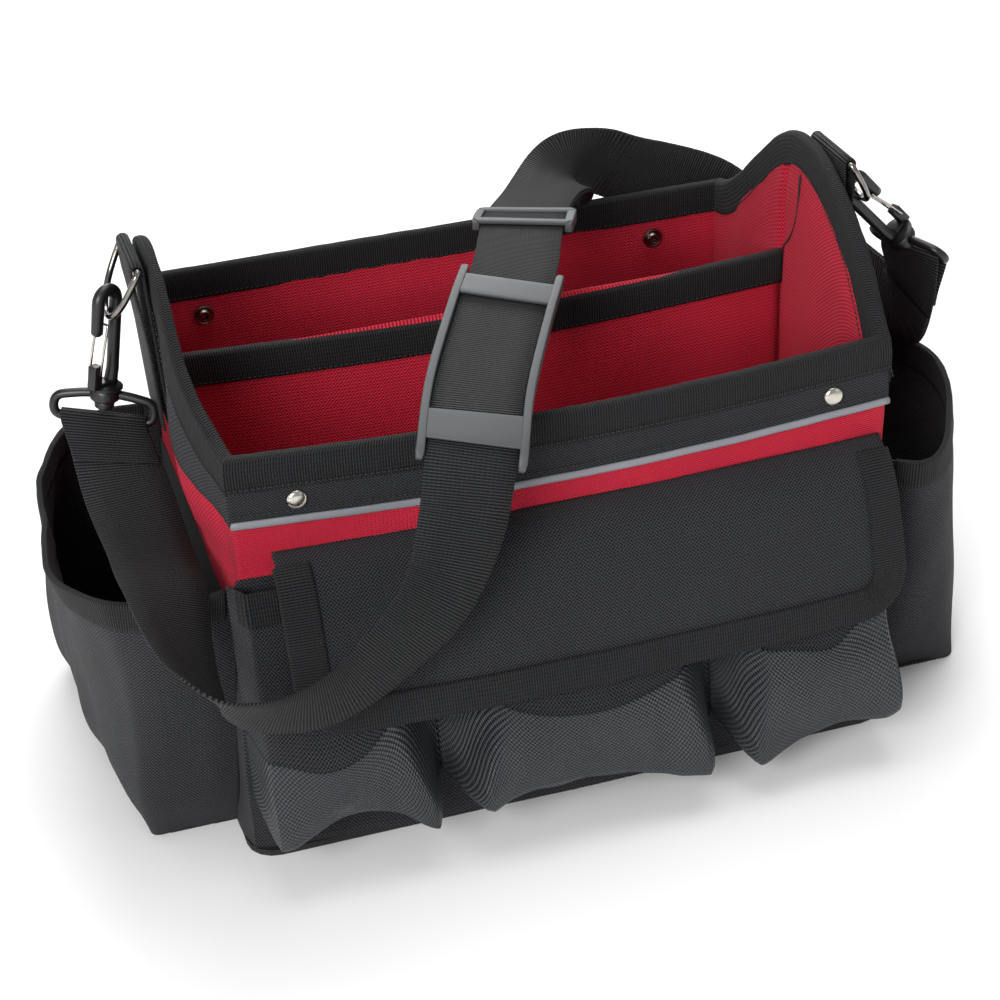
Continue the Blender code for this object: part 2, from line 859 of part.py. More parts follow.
def make_tab(side, y):
    top, bottom = tab_line(side, y)
    sign = -1 if side == "left" else 1
    up = (top - bottom).normalized()
    out = Vector((sign, 0, 0))
    out = (out - up * out.dot(up)).normalized()
    line = [bottom - out * fold_radius, mix(bottom, top, 0.5) - out * fold_radius]
    for i in range(7):
        angle = math.pi * i / 6
        line.append(top + fold_radius * (up * math.sin(angle) - out * math.cos(angle)))
    line += [mix(bottom, top, 0.5) + out * fold_radius, bottom + out * fold_radius]
    across = Vector((0, webbing_width, 0))
    ribbon(side + "_tab", line, [across] * len(line), black_webbing)
    return top


def make_ring(side, bar, swing):
    """A D-shaped ring hanging from its bar, swung outward by degrees."""
    sign = -1 if side == "left" else 1
    down = Vector((sign * math.sin(math.radians(swing)), 0, -math.cos(math.radians(swing))))
    half = webbing_width / 2 + fit_gap + ring_wire / 2
    points = []
    for i in range(17):
        angle = math.pi * i / 16
        points.append(bar + Vector((0, half * math.cos(angle), 0)) + down * ring_drop * math.sin(angle) ** 0.8)
    wire(side + "_ring", points, ring_wire, nickel, cyclic=True)
    return bar + down * ring_drop


def hook_path():
    """The hook's centre line in its own plane, from the flange up the spine to the nose's tip."""
    radius = eye_width / 2
    centre_x = spine_offset - radius
    centre_z = hook_height - hook_wire / 2 - radius
    points = [Vector((spine_offset * 0.7, 0, 0.0015)), Vector((spine_offset, 0, 0.012))]
    points.append(Vector((spine_offset, 0, centre_z)))
    for i in range(1, 8):
        angle = math.pi * i / 8
        points.append(Vector((centre_x + radius * math.cos(angle), 0, centre_z + radius * math.sin(angle))))
    nose_x = centre_x - radius
    points += [Vector((nose_x, 0, centre_z)), Vector((nose_x, 0, centre_z - nose_length))]
    return points


def make_hook(side, grip, shank, hook_turn, loop_turn):
    """A swivel snap hook: hook and flange, wire gate and the loop that the strap passes."""
    origin = grip - shank * grip_height
    wall_side = Vector((0, 1, 0)).cross(shank).normalized() * (1 if side == "left" else -1)
    spine = frame_from(origin, shank, hook_turn) @ Vector((spine_offset, 0, 0)) - origin
    origin += wall_side * ((hook_wire + ring_wire) / 2 + fit_gap - spine.dot(wall_side))
    hook_frame = frame_from(origin, shank, hook_turn)
    loop_frame = frame_from(origin, shank, loop_turn)
    spine = curve_to_mesh(wire(side + "_hook", hook_path(), hook_wire, black_plastic))
    head_top = -boss_height - 3 * swivel_gap
    profile = (
        (0.0, flange_thickness),
        (flange_radius, flange_thickness),
        (flange_radius, 0.0),
        (pin_radius, 0.0),
        (pin_radius, head_top),
        (pin_head_radius, head_top),
        (pin_head_radius - swivel_gap, head_top - pin_head),
        (0.0, head_top - pin_head),
    )
    foot = turned(side + "_hook_foot", profile, black_plastic, 20)
    block = box(side + "_hook_block", (block_length, block_width, block_top - block_bottom), black_plastic)
    middle = Vector((spine_offset - eye_width, 0, (block_bottom + block_top) / 2))
    block.data.transform(Matrix.Translation(middle))
    for item in (spine, foot, block):
        item.matrix_world = hook_frame
    boolean(spine, foot, "UNION")
    boolean(spine, block, "UNION")
    make_gate(side, hook_frame)
    make_loop(side, loop_frame)
    return loop_frame


def make_gate(side, hook_frame):
    """A bent wire: two legs beside the block and the nose, joined by a bar on the nose's inner side."""
    half = max(block_width, hook_wire) / 2 + gate_wire / 2 + fit_gap
    reach = hook_wire / 2 + fit_gap + gate_wire / 2
    rise = gate_top - gate_pivot
    points = [Vector((0, half, 0)), Vector((reach, half, rise))]
    points += [Vector((reach, -half, rise)), Vector((0, -half, 0))]
    gate = wire(side + "_gate", points, gate_wire, nickel, sides=1)
    gate.matrix_world = hook_frame @ Matrix.Translation((spine_offset - eye_width, 0, gate_pivot))


def make_loop(side, loop_frame):
    """The flat loop at the hook's foot, with the boss that the pin turns in."""
    half = loop_width / 2 - loop_corner
    top = -boss_height / 2 - swivel_gap - loop_corner
    low = top - loop_height + 2 * loop_corner
    points = []
    for cx, cz, start in ((half, top, 0), (-half, top, 90), (-half, low, 180), (half, low, 270)):
        for i in range(4):
            angle = math.radians(start + 90 * i / 3)
            turn = Vector((math.cos(angle), 0, math.sin(angle)))
            points.append(Vector((cx, 0, cz)) + turn * loop_corner)
    frame = curve_to_mesh(wire(side + "_loop", points, loop_wire, black_plastic, cyclic=True))
    boss = drum(side + "_boss", boss_radius, -boss_height - swivel_gap, -swivel_gap, black_plastic, 18)
    bore = drum(side + "_bore", pin_radius + swivel_gap, -2 * boss_height, boss_height, black_plastic, 18)
    for item in (frame, boss, bore):
        item.matrix_world = loop_frame
    boolean(frame, boss, "UNION")
    boolean(frame, bore, "DIFFERENCE")


def loop_bar(loop_frame):
    low = -boss_height / 2 - swivel_gap - loop_height
    return loop_frame @ Vector((0, 0, low)), loop_frame.to_3x3() @ Vector((1, 0, 0))


def width_vector(turn, dip):
    turn, dip = math.radians(turn), math.radians(dip)
    level = math.cos(dip)
    return Vector((level * math.cos(turn), level * math.sin(turn), -math.sin(dip)))


def square_to(vector, axis):
    """The direction of vector at right angles to a unit axis."""
    return (vector - axis * vector.dot(axis)).normalized()


def smooth_line(points, steps):
    """Points of a smooth curve through points, steps to each stretch."""
    line = []
    last = len(points) - 1
    for at in range(last):
        before, left = points[max(at - 1, 0)], points[at]
        right, after = points[at + 1], points[min(at + 2, last)]
        for i in range(steps):
            t = i / steps
            bent = 2 * left + (right - before) * t
            bent += (2 * before - 5 * left + 4 * right - after) * t ** 2
            bent += (3 * left - before - 3 * right + after) * t ** 3
            line.append(bent / 2)
    line.append(points[-1])
    return line


def strap_fold(bar, across, leave, front):
    """The stitched end of the strap: up the front of the bar, over it and away behind."""
    radius = loop_wire / 2 + fit_gap + webbing_thickness / 2
    front = square_to(square_to(front, across), leave)
    line = [bar + front * radius + leave * stitched_end, bar + front * radius + leave * stitched_end / 2]
    for i in range(7):
        angle = math.pi * i / 6
        line.append(bar + radius * (front * math.cos(angle) - leave * math.sin(angle)))
    line.append(bar - front * radius + leave * stitched_end / 2)
    line.append(bar - front * radius + leave * stitched_end)
    return line, [across] * len(line)


def strap_rows(left_bar, left_across, right_bar, right_across):
    half_length, half_depth = body_length / 2, body_depth / 2
    points, widths = [], []
    for across, depth, up, turn, dip in strap_route:
        points.append(Vector((across * half_length, depth * half_depth, up * wall_height)))
        widths.append(width_vector(turn, dip))
    leave_left = square_to(points[0] - left_bar, left_across)
    leave_right = square_to(points[-1] - right_bar, right_across)
    first, first_widths = strap_fold(left_bar, left_across, leave_left, Vector((0, -1, 0)))
    last, last_widths = strap_fold(right_bar, right_across, leave_right, Vector((1, -0.4, 0.4)))
    last.reverse()
    middle = [first[-1]] + points + [last[0]]
    middle_widths = [first_widths[-1]] + widths + [last_widths[0]]
    line = first[:-1] + smooth_line(middle, 3) + last[1:]
    across = first_widths[:-1] + smooth_line(middle_widths, 3) + last_widths[1:]
    return line, [vector.normalized() * webbing_width for vector in across]


def strap_frames(line, widths):
    """The strap's stations: distance from its start, middle, direction of width and upper normal."""
    frames, reach = [], 0.0
    for i, point in enumerate(line):
        before, after = line[max(i - 1, 0)], line[min(i + 1, len(line) - 1)]
        forward = (after - before).normalized()
        across = (widths[i] - forward * widths[i].dot(forward)).normalized()
        reach += (point - before).length
        frames.append((reach, point, across, across.cross(forward)))
    return frames


def strap_at(frames, distance):
    at = max(i for i, frame in enumerate(frames[:-1]) if frame[0] <= distance)
    first, second = frames[at], frames[at + 1]
    t = (distance - first[0]) / (second[0] - first[0])
    return [mix(a, b, t) for a, b in zip(first[1:], second[1:])]


def strap_bar(name, frames, low, high, outline):
    """A moulded bar that follows the strap from low to high along it."""
    cuts = [low] + [frame[0] for frame in frames if low < frame[0] < high] + [high]
    sections = []
    for distance in cuts:
        point, side, normal = strap_at(frames, distance)
        sections.append([point + side * across + normal * up for across, up in outline])
    return loft(name, sections, grey_plastic)


def make_strap_fittings(line, widths):
    """The pad under the strap with its rails and keepers, and the slider that sets the length."""
    frames = strap_frames(line, widths)
    rail_in = webbing_width / 2 + 2 * fit_gap
    rail_out = rail_in + frame_side
    clear = webbing_thickness / 2 + 3 * fit_gap
    low_face, high_face = -clear - frame_bar, clear + frame_bar
    rail_top = high_face - frame_bar / 4
    channel = (
        (-rail_out, low_face),
        (rail_out, low_face),
        (rail_out, rail_top),
        (rail_in, rail_top),
        (rail_in, -clear),
        (-rail_in, -clear),
        (-rail_in, rail_top),
        (-rail_out, rail_top),
    )
    wide = rail_out - frame_side / 3
    keeper = ((-wide, clear), (wide, clear), (wide, high_face), (-wide, high_face))
    for name, row, shift, length, bar, inset in (
        ("shoulder_pad", pad_row, pad_shift, pad_length, pad_keeper, pad_inset),
        ("slider", slider_row, slider_shift, slider_length, slider_keeper, slider_inset),
    ):
        across, depth, up = strap_route[row][:3]
        target = Vector((across * body_length / 2, depth * body_depth / 2, up * wall_height))
        middle = min(frames, key=lambda frame: (frame[1] - target).length)[0] + shift
        low, high = middle - length / 2, middle + length / 2
        body = strap_bar(name, frames, low, high, channel)
        for label, start in (("low", low + inset), ("high", high - inset - bar)):
            boolean(body, strap_bar(name + "_keeper_" + label, frames, start, start + bar, keeper), "UNION")


def make_studs():
    """Capped studs on the front band, and the snap sockets on the inside of the back wall."""
    z = wall_height - stud_drop
    out = band_out + fit_gap
    for label, x in (("left", front_stud_left), ("right", front_stud_right)):
        place = body_point("front", wall_share(x, z), z, -out)
        stud = drum("front_stud_" + label, stud_radius, 0.0, stud_rise, nickel, 16, stud_rise * 0.6)
        stud.matrix_world = Matrix.Translation(place) @ Matrix.Rotation(math.radians(90), 4, "X")
    inset = wall_thickness + 2 * fit_gap + lining_thickness + fit_gap
    for label, x in (("left", back_stud_left), ("right", back_stud_right)):
        place = body_point("back", wall_share(x, z), z, inset)
        profile = (
            (0.0, 0.0006),
            (stud_radius * 0.30, 0.0006),
            (stud_radius * 0.38, 0.0030),
            (stud_radius * 0.62, 0.0030),
            (stud_radius * 0.72, 0.0010),
            (stud_radius * 0.90, 0.0014),
            (stud_radius * 1.10, 0.0008),
            (stud_radius * 1.10, 0.0),
            (0.0, 0.0),
        )
        stud = turned("back_snap_" + label, profile, gunmetal, 14)
        stud.matrix_world = Matrix.Translation(place) @ Matrix.Rotation(math.radians(90), 4, "X")


make_base()
make_walls()
make_lining()
make_rim_trim()
make_divider()
make_pouches()
make_flap()
make_end_pockets()
make_studs()
loop_frames = {}
for side, tab_y, swing, shank, hook_turn, loop_turn in (
    ("left", left_tab_y, left_ring_swing, left_shank, left_hook_turn, left_loop_turn),
    ("right", right_tab_y, right_ring_swing, right_shank, right_hook_turn, right_loop_turn),
):
    bar = make_tab(side, tab_y)
    grip = make_ring(side, bar, swing)
    loop_frames[side] = make_hook(side, grip, shank, hook_turn, loop_turn)
left_bar, left_across = loop_bar(loop_frames["left"])
right_bar, right_across = loop_bar(loop_frames["right"])
strap_line, strap_widths = strap_rows(left_bar, left_across, right_bar, right_across)
ribbon("shoulder_strap", strap_line, strap_widths, black_webbing)
make_strap_fittings(strap_line, strap_widths)
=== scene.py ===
# Open top tool tote: a padded cloth tub with gabled ends, a divider, three front pouches under a flap,
# a pocket on each end, and a webbing shoulder strap on two swivel snap hooks.
import math

import bmesh
import bpy
import numpy as np
from mathutils import Matrix, Vector, noise


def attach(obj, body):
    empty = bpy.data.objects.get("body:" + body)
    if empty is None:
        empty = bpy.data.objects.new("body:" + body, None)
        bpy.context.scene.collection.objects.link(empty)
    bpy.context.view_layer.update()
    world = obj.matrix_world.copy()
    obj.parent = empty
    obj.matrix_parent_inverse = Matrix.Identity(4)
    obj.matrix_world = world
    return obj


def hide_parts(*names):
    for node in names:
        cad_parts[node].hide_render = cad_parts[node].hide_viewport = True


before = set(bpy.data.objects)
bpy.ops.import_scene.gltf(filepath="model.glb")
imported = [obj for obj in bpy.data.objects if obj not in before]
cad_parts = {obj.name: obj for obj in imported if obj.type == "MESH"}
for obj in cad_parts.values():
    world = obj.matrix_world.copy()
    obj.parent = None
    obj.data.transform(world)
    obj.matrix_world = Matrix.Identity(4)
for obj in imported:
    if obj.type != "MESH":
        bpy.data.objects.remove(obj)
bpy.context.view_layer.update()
print("frame loaded")


# Colour and node helpers

def toLinear(hexColor):
    values = [int(hexColor[i:i + 2], 16) / 255 for i in (1, 3, 5)]
    return tuple(v / 12.92 if v <= 0.04045 else ((v + 0.055) / 1.055) ** 2.4 for v in values) + (1.0,)


# Settings sets properties; links sets sockets by name or number to a value or another socket
def addNode(tree, kind, settings=None, **links):
    node = tree.nodes.new(kind)
    for key, value in (settings or {}).items():
        setattr(node, key, value)
    for key, value in links.items():
        socket = node.inputs[int(key[1:]) if key[0] == "i" and key[1:].isdigit() else key.replace("_", " ")]
        if isinstance(value, bpy.types.NodeSocket):
            tree.links.new(value, socket)
        else:
            socket.default_value = value
    return node


def newFinish(name, roughness, metallic=0.0, **sockets):
    material = bpy.data.materials.new(name)
    material.use_nodes = True
    shader = material.node_tree.nodes["Principled BSDF"]
    shader.inputs["Roughness"].default_value = roughness
    shader.inputs["Metallic"].default_value = metallic
    for key, value in sockets.items():
        shader.inputs[key.replace("_", " ")].default_value = value
    return material, material.node_tree, shader


def multiplyAdd(tree, value, factor, offset, clamp=False):
    settings = {"operation": "MULTIPLY_ADD", "use_clamp": clamp}
    return addNode(tree, "ShaderNodeMath", settings, i0=value, i1=factor, i2=offset).outputs[0]


def noiseIn(tree, scale, detail):
    body = addNode(tree, "ShaderNodeTexCoord")
    return addNode(tree, "ShaderNodeTexNoise", Vector=body.outputs["Object"], Scale=scale,
                   Detail=detail).outputs[0]


def colourBetween(tree, shader, level, low, high):
    mixed = addNode(tree, "ShaderNodeMix", {"data_type": "RGBA"}, Factor=level)
    mixed.inputs[6].default_value = toLinear(low)
    mixed.inputs[7].default_value = toLinear(high)
    tree.links.new(mixed.outputs[2], shader.inputs["Base Color"])


def bumpFrom(tree, shader, height, strength, distance):
    bump = addNode(tree, "ShaderNodeBump", Height=height, Strength=strength, Distance=distance)
    tree.links.new(bump.outputs[0], shader.inputs["Normal"])


# Threads that cross: raised dots in a checker, in the piece's own UV map, which is in metres. The
# pitches and the depth are in millimetres. The bump gives the weave its relief, and the colour follows
# it: raised dots and ribs are painted lighter and the hollows between them darker, as painted light
# and shade on the weave. The random patches are the cloth's own uneven tone.
def wovenCloth(name, look):
    material, tree, shader = newFinish(name, look["roughness"], Sheen_Weight=look["sheen"],
                                       Sheen_Roughness=0.5)
    shader.inputs["Specular IOR Level"].default_value = look.get("specular", 0.15)
    where = addNode(tree, "ShaderNodeUVMap", {"uv_map": "cloth"})
    split = addNode(tree, "ShaderNodeSeparateXYZ", Vector=where.outputs[0])
    waves = []
    for output, pitch in ((0, look["pitchAcross"]), (1, look["pitchAlong"])):
        scaled = addNode(tree, "ShaderNodeMath", {"operation": "MULTIPLY"}, i0=split.outputs[output],
                         i1=2000 * math.pi / pitch)
        waves.append(addNode(tree, "ShaderNodeMath", {"operation": "SINE"}, i0=scaled.outputs[0]).outputs[0])
    dots = addNode(tree, "ShaderNodeMath", {"operation": "MULTIPLY"}, i0=waves[0], i1=waves[1])
    height = multiplyAdd(tree, dots.outputs[0], 0.5 * look["dots"], 0.5)
    rib = multiplyAdd(tree, waves[look.get("ribAxis", 1)], 0.5 * look["ribs"], height)
    patches = noiseIn(tree, look["patch"], 3.0)
    fuzz = noiseIn(tree, 900.0, 1.0)
    tone = multiplyAdd(tree, patches, look["uneven"], 0.5 - look["uneven"] / 2 - look["contrast"] / 2)
    # painted light and shade: lighter on the raised threads, darker in the hollows between them
    level = multiplyAdd(tree, rib, look["contrast"], tone, True)
    colourBetween(tree, shader, level, look["low"], look["high"])
    rough = multiplyAdd(tree, patches, 0.12, look["roughness"] - 0.06, True)
    tree.links.new(rough, shader.inputs["Roughness"])
    bumpFrom(tree, shader, multiplyAdd(tree, fuzz, look["fuzz"], rib), look["relief"], look["depth"] / 1000)
    return material


# 600 denier polyester oxford, woven: matte, with raised dots. The threads lie 0.5 mm apart, and the
# pattern is drawn at 2.3 mm so that its dots show at this distance, as they do in the photograph.
finishes = {
    "blackOxford": wovenCloth("black polyester oxford", {
        "low": "#030304", "high": "#37383c", "roughness": 0.70, "sheen": 0.05, "pitchAcross": 2.3,
        "pitchAlong": 2.3, "dots": 1.0, "ribs": 0.25, "contrast": 2.2, "patch": 14.0, "uneven": 0.35,
        "fuzz": 0.25, "relief": 1.0, "depth": 0.8}),
    "redOxford": wovenCloth("red polyester oxford", {
        "low": "#720a1b", "high": "#e02a46", "roughness": 0.62, "sheen": 0.03, "pitchAcross": 2.3,
        "pitchAlong": 2.3, "dots": 0.8, "ribs": 0.35, "contrast": 1.4, "patch": 12.0, "uneven": 0.25,
        "fuzz": 0.2, "relief": 0.9, "depth": 0.7}),
    # the same cloth seen from its back, so a little darker
    "redLining": wovenCloth("red oxford lining", {
        "low": "#66071a", "high": "#d6293f", "roughness": 0.64, "sheen": 0.03, "pitchAcross": 2.3,
        "pitchAlong": 2.3, "dots": 0.8, "ribs": 0.3, "contrast": 1.4, "patch": 11.0, "uneven": 0.25,
        "fuzz": 0.2, "relief": 0.9, "depth": 0.7}),
    # polypropylene grosgrain tape, woven in fine cross ribs, drawn 1.6 mm apart
    "tape": wovenCloth("black grosgrain tape", {
        "low": "#040405", "high": "#2b2c2e", "roughness": 0.76, "sheen": 0.04, "pitchAcross": 1.6,
        "pitchAlong": 2.6, "ribAxis": 0, "dots": 0.6, "ribs": 0.8, "contrast": 1.7, "patch": 30.0,
        "uneven": 0.3, "fuzz": 0.5, "relief": 1.0, "depth": 0.8}),
    # polypropylene webbing, 50.8 mm wide, with cross ribs drawn 1.7 mm apart
    "webbing": wovenCloth("black polypropylene webbing", {
        "low": "#040405", "high": "#303133", "roughness": 0.60, "sheen": 0.02, "pitchAcross": 2.6,
        "pitchAlong": 1.7, "dots": 0.35, "ribs": 0.9, "contrast": 1.8, "patch": 18.0, "uneven": 0.25,
        "fuzz": 0.3, "relief": 1.0, "depth": 0.8}),
    # oxford coated with PVC: satin, with coarser raised dots that catch the light; each dot is also painted
    # lighter, as a painted highlight
    "coatedCloth": wovenCloth("PVC coated oxford", {
        "low": "#060608", "high": "#3f4247", "roughness": 0.44, "sheen": 0.0, "pitchAcross": 2.9,
        "pitchAlong": 2.9, "dots": 1.0, "ribs": 0.0, "contrast": 2.2, "patch": 10.0, "uneven": 0.25,
        "fuzz": 0.1, "relief": 1.0, "depth": 0.9, "specular": 0.4}),
    "reflective": wovenCloth("reflective tape", {
        "low": "#5d5e63", "high": "#8b8c92", "roughness": 0.5, "sheen": 0.0, "pitchAcross": 1.3,
        "pitchAlong": 1.3, "dots": 1.0, "ribs": 0.0, "contrast": 0.25, "patch": 40.0, "uneven": 0.3,
        "fuzz": 0.2, "relief": 0.2, "depth": 0.1, "specular": 0.6})
}


# Moulded plastic, or plated metal where it is metallic: two shades and a cloudy shine. Plastic also has
# a fine spark-eroded grain that softens its shine.
def cloudyFinish(name, shades, roughness, grain=0.0, metallic=0.0):
    material, tree, shader = newFinish(name, roughness, metallic)
    scale, detail, wear = (220.0, 5.0, 0.2) if metallic else (60.0, 4.0, 0.16)
    cloud = noiseIn(tree, scale, detail)
    colourBetween(tree, shader, cloud, *shades)
    tree.links.new(multiplyAdd(tree, cloud, wear, roughness - 0.08), shader.inputs["Roughness"])
    if grain:
        bumpFrom(tree, shader, noiseIn(tree, 2600.0, 2.0), grain, 0.0001)
    return material


finishes["hookPlastic"] = cloudyFinish("black moulded acetal", ("#0a0a0b", "#131415"), 0.36, 0.25)
# the stiff bottom is covered in coated cloth, whose fine grain hardly shows
finishes["baseCloth"] = cloudyFinish("coated bottom cloth", ("#0b0b0c", "#17181a"), 0.75, 0.6)
finishes["padPlastic"] = cloudyFinish("dark grey moulded nylon", ("#3a3c3e", "#47494b"), 0.50, 0.4)
finishes["thread"] = cloudyFinish("bonded nylon thread", ("#191a1b", "#242527"), 0.6, 0.3)
# the D-rings' polished steel is given a dark colour, a painted reflection of the dark things it mirrors
for key, name, shades, roughness in (("nickel", "nickel plated steel", ("#d8d3cb", "#b3aca2"), 0.2),
                                     ("gunmetal", "gunmetal plated brass", ("#94877f", "#544a45"), 0.24),
                                     ("ringSteel", "polished steel darkened as painted reflection", ("#a39e98", "#55514d"), 0.16)):
    finishes[key] = cloudyFinish(name, shades, roughness, metallic=1.0)
print("finishes made")


# Mesh helpers. A grid is an array of rows of points, the lowest row first, each running
# anticlockwise as seen from above, so that its faces look outwards.

def addObject(name, data):
    made = bpy.data.objects.new(name, data)
    bpy.context.scene.collection.objects.link(made)
    return made


def place(piece, finish, body="tote", nodes=()):
    piece.data.materials.clear()
    piece.data.materials.append(finishes[finish])
    for face in piece.data.polygons:
        face.use_smooth = True
    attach(piece, body)
    if nodes:
        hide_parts(*nodes)
    return piece


# Distances along a line of points
def runs(points):
    return np.concatenate([[0.0], np.cumsum(np.linalg.norm(np.diff(points, axis=0), axis=1))])


# Vectors made 1 long
def unit(vectors):
    return vectors / np.linalg.norm(vectors, axis=-1, keepdims=True)


# A sheet through a grid, closed where it goes around, with its UV map in metres and its wall's thickness
def gridPiece(name, grid, finish, thick=0.0, around=False, side=-1.0, body="tote", nodes=(), u=None, v=None,
              caps=False, flip=False):
    rows, columns = grid.shape[:2]
    closed = np.concatenate([grid, grid[:, :1]], axis=1) if around else grid
    if u is None:
        u = np.mean([runs(row) for row in closed], axis=0)
    if v is None:
        v = np.mean([runs(closed[:, i]) for i in range(0, columns, max(columns // 8, 1))], axis=0)
    faces, uvs = [], []
    for i in range(rows - 1):
        for j in range(columns if around else columns - 1):
            k = (j + 1) % columns
            corners = [(i * columns + j, (u[j], v[i])), (i * columns + k, (u[j + 1], v[i])),
                       ((i + 1) * columns + k, (u[j + 1], v[i + 1])),
                       ((i + 1) * columns + j, (u[j], v[i + 1]))]
            if flip:
                corners.reverse()
            faces.append([c[0] for c in corners])
            uvs += [c[1] for c in corners]
    if caps:
        for row, order in ((0, -1), (rows - 1, 1)):
            loop = [row * columns + j for j in range(columns)][::order]
            if flip:
                loop.reverse()
            faces.append(loop)
            uvs += [(u[j % columns], v[row]) for j in range(columns)]
    mesh = bpy.data.meshes.new(name)
    mesh.from_pydata(grid.reshape(-1, 3).tolist(), [], faces)
    layer = mesh.uv_layers.new(name="cloth")
    layer.data.foreach_set("uv", np.array(uvs, dtype=np.float32).ravel())
    mesh.update()
    piece = addObject(name, mesh)
    if thick:
        wall = piece.modifiers.new("cloth thickness", "SOLIDIFY")
        wall.thickness = thick
        wall.offset = side
    return place(piece, finish, body, nodes)


def normalsOf(grid, around=False):
    padded = np.concatenate([grid[:, -1:], grid, grid[:, :1]], axis=1) if around else grid
    along = np.gradient(padded, axis=1)
    if around:
        along = along[:, 1:-1]
    up = np.gradient(grid, axis=0)
    normals = np.cross(along, up)
    return normals / np.maximum(np.linalg.norm(normals, axis=2, keepdims=True), 1e-12)


# Moves cloth along its normals by smooth noise, size metres between folds
def crumple(grid, amount, size, seed, around=False, mask=None, stretch=(1.0, 1.0, 1.0)):
    moved = np.zeros(grid.shape[:2])
    for i in range(grid.shape[0]):
        for j in range(grid.shape[1]):
            p = grid[i, j]
            spot = Vector((p[0] * stretch[0], p[1] * stretch[1], p[2] * stretch[2])) / size
            moved[i, j] = noise.noise(spot + Vector((seed, 2.7 * seed, 0))) + 0.45 * noise.noise(
                spot * 2.1 + Vector((0, seed, 5.0)))
    if mask is not None:
        moved = moved * mask
    return grid + normalsOf(grid, around) * moved[:, :, None] * amount


# Reads a column of a table at x on a smooth curve through its rows
def smoothAlong(table, x, column=1):
    last = len(table) - 1
    at = 0
    while at < last - 1 and x > table[at + 1][0]:
        at += 1
    left, right = table[at], table[at + 1]
    before, after = table[max(at - 1, 0)], table[min(at + 2, last)]
    width = right[0] - left[0]
    t = min(max((x - left[0]) / width, 0.0), 1.0)
    slopeIn = (right[column] - before[column]) / max(right[0] - before[0], 1e-9) * width
    slopeOut = (after[column] - left[column]) / max(after[0] - left[0], 1e-9) * width
    value = (2 * t ** 3 - 3 * t ** 2 + 1) * left[column] + (t ** 3 - 2 * t ** 2 + t) * slopeIn
    return value + (3 * t ** 2 - 2 * t ** 3) * right[column] + (t ** 3 - t ** 2) * slopeOut


def lerp(a, b, t):
    return a + (b - a) * t


def smoothStep(low, high, x):
    t = np.clip((x - low) / (high - low), 0.0, 1.0)
    return t * t * (3 - 2 * t)


# The tub's form, in metres, as its panels were cut

tub = {"length": 0.400, "depth": 0.266, "wall": 0.262, "gableRise": 0.080, "flareHeight": 0.190,
       "leftFlare": 0.014, "rightFlare": 0.001, "frontFlare": 0.014, "backFlare": 0.004, "leftLean": 0.014,
       "rightLean": 0.004, "frontBulge": 0.007, "frontSag": 0.005, "redFoot": 0.186}
# the left end bows out between these heights, most at its middle, which is a share of the depth
leftBow = {"reach": 0.012, "low": 0.14, "full": 0.22, "top": 0.342, "fade": 0.106, "middle": 0.24,
           "spread": 0.15, "corner": 0.12}
# the black band under the rim, and how much of the gable's rise its foot doesn't follow
band = {"height": 0.040, "gableShare": 0.55, "out": 0.0020, "footOut": 0.0010}
gableProfile = (
    # share of depth from the front, share of rise
    (0.000, 0.000), (0.040, 0.150), (0.090, 0.370), (0.160, 0.600), (0.260, 0.800), (0.360, 0.945),
    (0.450, 1.000), (0.540, 0.970), (0.620, 0.850), (0.720, 0.600), (0.800, 0.380), (0.880, 0.180),
    (0.950, 0.050), (1.000, 0.000))

leftProfile = (
    (0.000, 0.000), (0.050, 0.060), (0.100, 0.170), (0.160, 0.320), (0.220, 0.480), (0.290, 0.680),
    (0.360, 0.860), (0.450, 1.000), (0.540, 0.980), (0.620, 0.860), (0.720, 0.600), (0.800, 0.380),
    (0.880, 0.180), (0.950, 0.050), (1.000, 0.000))


# The tub's left, right, front and back at a height
def sideLines(z, inset=0.0):
    low = max(1 - z / tub["flareHeight"], 0.0)
    return (-tub["length"] / 2 - tub["leftFlare"] * low + inset,
            tub["length"] / 2 + tub["rightFlare"] * low - inset,
            -tub["depth"] / 2 - tub["frontFlare"] * low + inset,
            tub["depth"] / 2 + tub["backFlare"] * low - inset)


# Shares of the tub's length and of its depth at which x and y lie
def shareAlong(x, z):
    left, right = sideLines(z)[:2]
    return (x - left) / (right - left)


def shareAcross(y, z):
    front, back = sideLines(z)[2:]
    return (y - front) / (back - front)


# A place on a side of the tub, a share of the way along it
def tubPoint(side, share, z, inset=0.0):
    left, right, front, back = sideLines(z, inset)
    swell = max(math.sin(math.pi * min(max(share, 0.0), 1.0)), 0.0)
    if side == "front":
        return np.array((lerp(left, right, share), front - tub["frontBulge"] * swell, z))
    if side == "back":
        return np.array((lerp(left, right, share), back, z))
    tall = max(z - tub["flareHeight"], 0.0) / (tub["wall"] + tub["gableRise"] - tub["flareHeight"])
    if side == "left":
        bow = smoothStep(leftBow["low"], leftBow["full"], z)
        bow *= min(max((leftBow["top"] - z) / leftBow["fade"], 0.0), 1.0)
        bow *= leftBow["reach"] * math.exp(-((share - leftBow["middle"]) / leftBow["spread"]) ** 2)
        bow *= smoothStep(0.0, leftBow["corner"], share)
        lean = tub["leftLean"] * tall ** 0.5 * swell ** 0.8
        return np.array((left - lean - bow, lerp(front, back, share), z))
    tall *= swell ** 1.5
    return np.array((right + tub["rightLean"] * tall, lerp(front, back, share), z))


def rimHeight(side, share):
    if side == "front":
        return tub["wall"] - tub["frontSag"] * math.sin(math.pi * share)
    if side == "back":
        return tub["wall"]
    profile = leftProfile if side == "left" else gableProfile
    return tub["wall"] + tub["gableRise"] * smoothAlong(profile, share)


